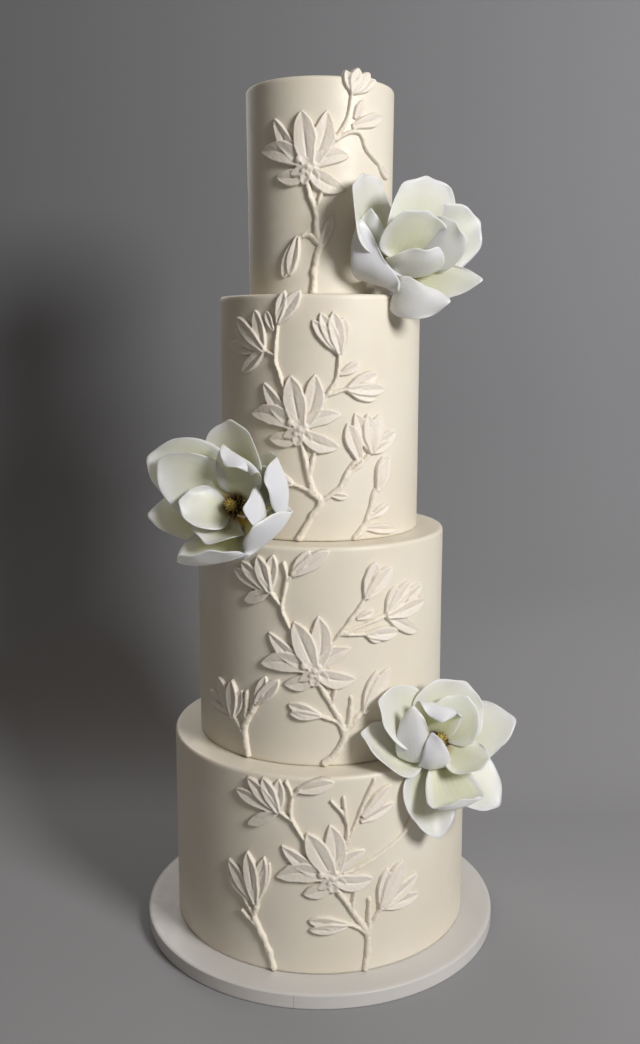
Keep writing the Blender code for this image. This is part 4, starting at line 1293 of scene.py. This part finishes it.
def turned_heart(name, heart, ahead, wire, made):
    """The wire that a flower stands on, the knob that its petals leave and the cone's core."""
    aside = ahead.orthogonal().normalized()
    across = ahead.cross(aside)
    outline = [(0.0, -wire), (WIRE_RADIUS, -wire), (WIRE_RADIUS, -WIRE_END * wire)]
    outline += [tuple(place) for place in smooth_path([(*spot, 0.0) for spot in HEART_OUTLINE], 4)]
    outline.append((0.0, HEART_OUTLINE[-1][1] + HEART_CAP, 0.0))
    points = []
    for ring in outline:
        for step in range(HEART_SIDES):
            angle = 2 * math.pi * step / HEART_SIDES
            way = aside * math.cos(angle) + across * math.sin(angle)
            points.append(heart + ahead * ring[1] + way * max(ring[0], HEART_END))
    faces = []
    for ring in range(len(outline) - 1):
        low, high = ring * HEART_SIDES, (ring + 1) * HEART_SIDES
        for step in range(HEART_SIDES):
            following = (step + 1) % HEART_SIDES
            faces.append((low + step, low + following, high + following, high + step))
    faces.append(tuple(range(HEART_SIDES - 1, -1, -1)))
    faces.append(tuple(range(len(points) - HEART_SIDES, len(points))))
    return mesh_piece(name, points, faces, made)


def tuft_tree():
    """Geometry tree: small pointed stalks set in a spiral round a cone, leaning outwards."""
    inputs = (("Count", "NodeSocketInt", 40), ("Cone Foot", "NodeSocketFloat", 0.0),
              ("Cone Height", "NodeSocketFloat", 0.01), ("Foot Radius", "NodeSocketFloat", 0.005),
              ("Top Radius", "NodeSocketFloat", 0.003), ("Stalk Length", "NodeSocketFloat", 0.008),
              ("Stalk Radius", "NodeSocketFloat", 0.0008), ("Lean", "NodeSocketFloat", 1.0),
              ("Seed", "NodeSocketInt", 0), ("Material", "NodeSocketMaterial", None))
    tree, given, result = new_group("Tuft", "GeometryNodeTree", inputs, SHAPE_ONLY)
    line = put(tree, "GeometryNodePoints", None, {"Count": given["Count"]}).outputs[0]
    index = put(tree, "GeometryNodeInputIndex").outputs[0]
    share = calc(tree, "DIVIDE", index, given["Count"])
    angle = calc(tree, "MULTIPLY", index, GOLDEN_TURN)
    radius = ranged(tree, share, 0.0, 1.0, given["Foot Radius"], given["Top Radius"])
    level = calc(tree, "MULTIPLY_ADD", share, given["Cone Height"], given["Cone Foot"])
    way = vector_of(tree, calc(tree, "COSINE", angle), calc(tree, "SINE", angle))
    place = vector_calc(tree, "ADD", scaled(tree, way, radius), vector_of(tree, z=level))
    spots = put(tree, "GeometryNodeSetPosition", None, {"Geometry": line, "Position": place}).outputs[0]
    upright = vector_of(tree, z=calc(tree, "MULTIPLY_ADD", share, 1.6, 0.35))
    leaning = vector_calc(tree, "ADD", scaled(tree, way, given["Lean"]), upright)
    jitter = put(tree, "FunctionNodeRandomValue", {"data_type": "FLOAT_VECTOR"},
                 {0: (-TUFT_JITTER,) * 3, 1: (TUFT_JITTER,) * 3, "Seed": given["Seed"]}).outputs[0]
    turned = put(tree, "FunctionNodeAlignRotationToVector", {"axis": "Z"},
                 {"Vector": vector_calc(tree, "ADD", leaning, jitter)}).outputs[0]
    size = put(tree, "FunctionNodeRandomValue", {"data_type": "FLOAT"},
               {2: TUFT_SIZES[0], 3: TUFT_SIZES[1],
                "Seed": calc(tree, "ADD", given["Seed"], 7.0)}).outputs[1]
    stalk = put(tree, "GeometryNodeMeshCone", {"fill_type": "TRIANGLE_FAN"},
                {"Vertices": TUFT_SIDES, "Side Segments": 3, "Fill Segments": 1, "Radius Top": 0.0002,
                 "Radius Bottom": given["Stalk Radius"], "Depth": given["Stalk Length"]}).outputs["Mesh"]
    height = own_place(tree)["Z"]
    bent = calc(tree, "MULTIPLY", calc(tree, "MULTIPLY", height, height), TUFT_BEND)
    curved = put(tree, "GeometryNodeSetPosition", None,
                 {"Geometry": stalk, "Offset": vector_of(tree, bent)}).outputs[0]
    stood = put(tree, "GeometryNodeInstanceOnPoints", None,
                {"Points": spots, "Instance": curved, "Rotation": turned, "Scale": size}).outputs[0]
    return finished(tree, stood, given, result)


def upon(heart, ahead):
    """The matrix that stands a thing made round the Z axis on a flower's heart."""
    turn = ahead.to_track_quat("Z", "Y").to_matrix().to_4x4()
    return Matrix.Translation(heart * MM) @ turn


def floor_sweep(made):
    """A round floor that curves up into a wall all round, so that no edge of it is seen."""
    outline = [(0.0, 0.0), (FLOOR_REACH / 2, 0.0)]
    for step in range(SWEEP_STEPS + 1):
        angle = math.pi / 2 * step / SWEEP_STEPS
        outline.append((FLOOR_REACH + SWEEP_ROUND * math.sin(angle), SWEEP_ROUND * (1 - math.cos(angle))))
    outline.append((FLOOR_REACH + SWEEP_ROUND, WALL_HIGH))
    points = [(0.0, 0.0, 0.0)]
    faces = []
    for ring, (reach, level) in enumerate(outline[1:]):
        for step in range(SWEEP_SIDES):
            angle = 2 * math.pi * step / SWEEP_SIDES
            points.append((reach * math.cos(angle), reach * math.sin(angle), level))
            low, after = 1 + (ring - 1) * SWEEP_SIDES, (step + 1) % SWEEP_SIDES
            if ring == 0:
                faces.append((0, 1 + step, 1 + after))
            else:
                faces.append((low + step, low + SWEEP_SIDES + step, low + SWEEP_SIDES + after, low + after))
    return mesh_piece("floor", points, faces, made)


def backdrop(made):
    """A wall close behind the cake, with its foot curved into the floor; it faces the front."""
    outline = []
    for step in range(SWEEP_STEPS + 1):
        angle = math.pi / 2 * step / SWEEP_STEPS
        level = BACKDROP_ROUND * (1 - math.cos(angle))
        outline.append((BACKDROP_FROM + BACKDROP_ROUND * math.sin(angle), level))
    outline.append((BACKDROP_FROM + BACKDROP_ROUND, WALL_HIGH))
    points = [(side * BACKDROP_WIDE, place, level) for place, level in outline for side in (-1, 1)]
    faces = [(2 * row, 2 * row + 1, 2 * row + 3, 2 * row + 2) for row in range(len(outline) - 1)]
    return mesh_piece("backdrop", points, faces, made)


def backdrop_material():
    """A grey, darker towards the left as painted shade; the lamps shine through it, and from behind the
    camera looks through it.
    """
    made, tree, shader = new_material("backdrop_pale")
    place = put(tree, "ShaderNodeSeparateXYZ", None, {0: put(tree, "ShaderNodeTexCoord").outputs["Object"]})
    # Painted shade: the wall is darker towards the left and lighter towards the right
    aside = ranged(tree, place.outputs["X"], *BACKDROP_SHADE_SPAN)
    backdrop_with_painted_shade = mixed(tree, aside, rgba(BACKDROP_PAINTED_SHADE), rgba(BACKDROP_COLOUR))
    raised = ranged(tree, place.outputs["Z"], 0.0, 2 * BACKDROP_ROUND * MM)
    tree.links.new(mixed(tree, raised, FLOOR_COLOUR, backdrop_with_painted_shade), shader.inputs["Base Color"])
    shader.inputs["Roughness"].default_value = STAGE_ROUGH
    behind = put(tree, "ShaderNodeNewGeometry").outputs["Backfacing"]
    rays = put(tree, "ShaderNodeLightPath").outputs
    from_behind = calc(tree, "MULTIPLY", behind, rays["Is Camera Ray"])
    through = calc(tree, "MAXIMUM", rays["Is Shadow Ray"], from_behind)
    clear = put(tree, "ShaderNodeBsdfTransparent").outputs[0]
    blend = put(tree, "ShaderNodeMixShader", None, {0: through})
    tree.links.new(shader.outputs[0], blend.inputs[1])
    tree.links.new(clear, blend.inputs[2])
    output = next(node for node in tree.nodes if node.type == "OUTPUT_MATERIAL")
    tree.links.new(blend.outputs[0], output.inputs["Surface"])
    return made


# Operators

class CAKE_OT_board(bpy.types.Operator):
    """Cover the drum board in white sugar paste"""

    bl_idname = "cake.cover_board"
    bl_label = "Cover Board"

    def execute(self, context):
        settings = context.scene.cake_settings
        low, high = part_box("board")
        values = {
            "Foot Radius": high.x, "Top Radius": high.x, "Foot": low.z, "Height": high.z - low.z,
            "Top Round": BOARD_ROUND * MM, "Foot Round": BOARD_ROUND * MM,
            "Waviness": settings.waviness * BOARD_EVEN, "Seed": 5.0, "Sides": settings.sides,
            "Rings": BOARD_RINGS, "Material": board_material(settings),
        }
        tree = bpy.data.node_groups.get("Covered Round") or covered_round_tree()
        settle(from_tree("board_cover", tree, values), "board_white", "board")
        return {"FINISHED"}


class CAKE_OT_tiers(bpy.types.Operator):
    """Cover the four tiers in ivory sugar paste"""

    bl_idname = "cake.cover_tiers"
    bl_label = "Cover Tiers"

    def execute(self, context):
        settings = context.scene.cake_settings
        made = icing_material(settings)
        tree = bpy.data.node_groups.get("Covered Round") or covered_round_tree()
        for index, (foot, height, foot_radius, top_radius) in enumerate(TIERS):
            values = {
                "Foot Radius": foot_radius * MM, "Top Radius": top_radius * MM,
                "Foot": foot * MM, "Height": height * MM,
                "Top Round": TIER_ROUND * MM, "Foot Round": FOOT_ROUND * MM,
                "Waviness": settings.waviness, "Seed": float(index), "Sides": settings.sides,
                "Rings": TIER_RINGS, "Material": made,
            }
            name = "tier_" + str(index + 1)
            settle(from_tree("icing_" + name, tree, values), "icing", name)
        return {"FINISHED"}


class CAKE_OT_sprays(bpy.types.Operator):
    """Lay the magnolia sprays on the tiers' front"""

    bl_idname = "cake.lay_sprays"
    bl_label = "Lay Sprays"

    def execute(self, context):
        settings = context.scene.cake_settings
        made = bpy.data.materials.get("relief_paste") or relief_material(settings)
        cell = settings.relief_cell / MM
        for seed, (name, plan) in enumerate(SPRAYS.items()):
            parts = spray_parts(plan)
            piece = relief_piece("relief" + name[5:], plan["tier"], parts, cell, seed * SEED_STEP, made)
            settle(piece, "relief", name)
        return {"FINISHED"}


class CAKE_OT_back_sprays(bpy.types.Operator):
    """Carry the sprays on round the side that faces away"""

    bl_idname = "cake.lay_back_sprays"
    bl_label = "Lay Back Sprays"

    def execute(self, context):
        settings = context.scene.cake_settings
        made = bpy.data.materials.get("relief_paste") or relief_material(settings)
        cell = settings.back_cell / MM
        for seed, (name, plan_name, index, bearing, way) in enumerate(BACK_SPRAYS):
            parts = spray_parts(SPRAYS[plan_name])
            stems, petals, _ = parts
            ends = [place[0] for route in stems for place in route] + [petal[1][0] for petal in petals]
            middle = (min(ends) + max(ends)) / 2
            shift = math.radians(bearing) * TIERS[index][3] - way * middle
            parts = turned_parts(parts, shift, way)
            piece = relief_piece(name, index, parts, cell, BACK_SEED + seed * SEED_STEP, made)
            settle(piece, "relief")
        return {"FINISHED"}


class CAKE_OT_petals(bpy.types.Operator):
    """Shape the sugar magnolias' petals"""

    bl_idname = "cake.shape_petals"
    bl_label = "Shape Petals"

    def execute(self, context):
        settings = context.scene.cake_settings
        made = petal_material(settings)
        rows, columns = settings.petal_rows, settings.petal_columns
        for flower, (name, plan) in enumerate(MAGNOLIAS.items()):
            heart, directions, axis, _ = flower_places(plan)
            number = 0
            for whorl, level in (("inner", INNER_LEVEL), ("outer", OUTER_LEVEL)):
                for spec in plan[whorl]:
                    number += 1
                    flat = petal_sheet(axis, spec, level, rows, columns, flower * 100 + number)
                    sheet = [[heart + directions[0] * spot.x + directions[1] * spot.y + directions[2] * spot.z
                              for spot in row] for row in flat]
                    node = name + "_petal_" + str(number)
                    piece = sugar_petal("sugar" + node[8:], sheet, settings.petal_thick / MM, made)
                    settle(piece, "sugar_white", node)
        return {"FINISHED"}


class CAKE_OT_hearts(bpy.types.Operator):
    """Set the cone, the stamens and the wire in each sugar magnolia"""

    bl_idname = "cake.set_hearts"
    bl_label = "Set Hearts"

    def execute(self, context):
        settings = context.scene.cake_settings
        cone = heart_material("heart_brown", settings.carpel)
        dark = heart_material("stamen_brown", settings.stamen)
        tree = bpy.data.node_groups.get("Tuft") or tuft_tree()
        for seed, (name, plan) in enumerate(MAGNOLIAS.items()):
            heart, _, _, ahead = flower_places(plan)
            settle(turned_heart("sugar" + name[8:] + "_heart", heart, ahead, plan["wire"], cone),
                   "heart_brown", name + "_heart")
            tufts = (
                ("_stamens", STAMENS, settings.stamens, STAMEN_LEAN, seed, dark),
                ("_carpels", CARPELS, CARPEL_COUNT, CARPEL_LEAN, seed + CARPEL_SEED, cone),
            )
            for label, lengths, count, lean, start, made in tufts:
                values = {key: length * MM for key, length in lengths.items()}
                values.update({"Count": count, "Lean": lean, "Seed": start, "Material": made})
                piece = from_tree("sugar" + name[8:] + label, tree, values)
                piece.data.transform(upon(heart, ahead))
                settle(piece, "heart_brown")
        return {"FINISHED"}


class CAKE_OT_stage(bpy.types.Operator):
    """Set up the floor, the studio light and the camera"""

    bl_idname = "cake.set_stage"
    bl_label = "Set Stage"

    def execute(self, context):
        scene = context.scene
        made, _, shader = new_material("floor_pale")
        shader.inputs["Base Color"].default_value = FLOOR_COLOUR
        shader.inputs["Roughness"].default_value = STAGE_ROUGH
        floor_sweep(made)
        backdrop(backdrop_material())
        world = bpy.data.worlds.new("studio")
        world.use_nodes = True
        background = world.node_tree.nodes["Background"]
        background.inputs["Color"].default_value = AIR_COLOUR
        background.inputs["Strength"].default_value = AIR_STRENGTH
        scene.world = world
        for name, place, aim, size, spread_out, power, colour in LAMPS:
            light = bpy.data.lights.new(name, "AREA")
            light.shape = "DISK"
            light.size = size
            light.spread = math.radians(spread_out)
            light.energy = power
            light.color = colour
            lamp = bpy.data.objects.new(name, light)
            lamp.location = place
            lamp.visible_camera = False
            lamp.rotation_euler = (Vector(aim) - Vector(place)).to_track_quat("-Z", "Y").to_euler()
            scene.collection.objects.link(lamp)
        lens = bpy.data.cameras.new("camera")
        lens.sensor_width = SENSOR
        lens.lens = LENS
        camera = bpy.data.objects.new("camera", lens)
        camera.location = CAMERA_PLACE
        camera.rotation_euler = (math.radians(90 - CAMERA_DOWN), 0.0, 0.0)
        scene.collection.objects.link(camera)
        scene.camera = camera
        scene.view_settings.view_transform = "Standard"
        return {"FINISHED"}


class CAKE_PT_panel(bpy.types.Panel):
    """The cake's operators and settings in the sidebar"""

    bl_idname = "CAKE_PT_panel"
    bl_label = "Wedding Cake"
    bl_space_type = "VIEW_3D"
    bl_region_type = "UI"
    bl_category = "Cake"

    def draw(self, context):
        layout = self.layout
        settings = context.scene.cake_settings
        for name in settings.bl_rna.properties.keys():
            if name not in ("rna_type", "name"):
                layout.prop(settings, name)
        for operator in OPERATORS:
            layout.operator(operator.bl_idname)


OPERATORS = (CAKE_OT_board, CAKE_OT_tiers, CAKE_OT_sprays, CAKE_OT_back_sprays,
             CAKE_OT_petals, CAKE_OT_hearts, CAKE_OT_stage)
CLASSES = (CakeSettings, *OPERATORS, CAKE_PT_panel)


def register():
    for kind in CLASSES:
        bpy.utils.register_class(kind)
    bpy.types.Scene.cake_settings = PointerProperty(type=CakeSettings)


def unregister():
    del bpy.types.Scene.cake_settings
    for kind in reversed(CLASSES):
        bpy.utils.unregister_class(kind)


def main():
    register()
    bpy.ops.cake.set_stage()
    bpy.ops.cake.cover_board()
    bpy.ops.cake.cover_tiers()
    bpy.ops.cake.lay_sprays()
    bpy.ops.cake.lay_back_sprays()
    bpy.ops.cake.shape_petals()
    bpy.ops.cake.set_hearts()


if __name__ == "__main__":
    main()
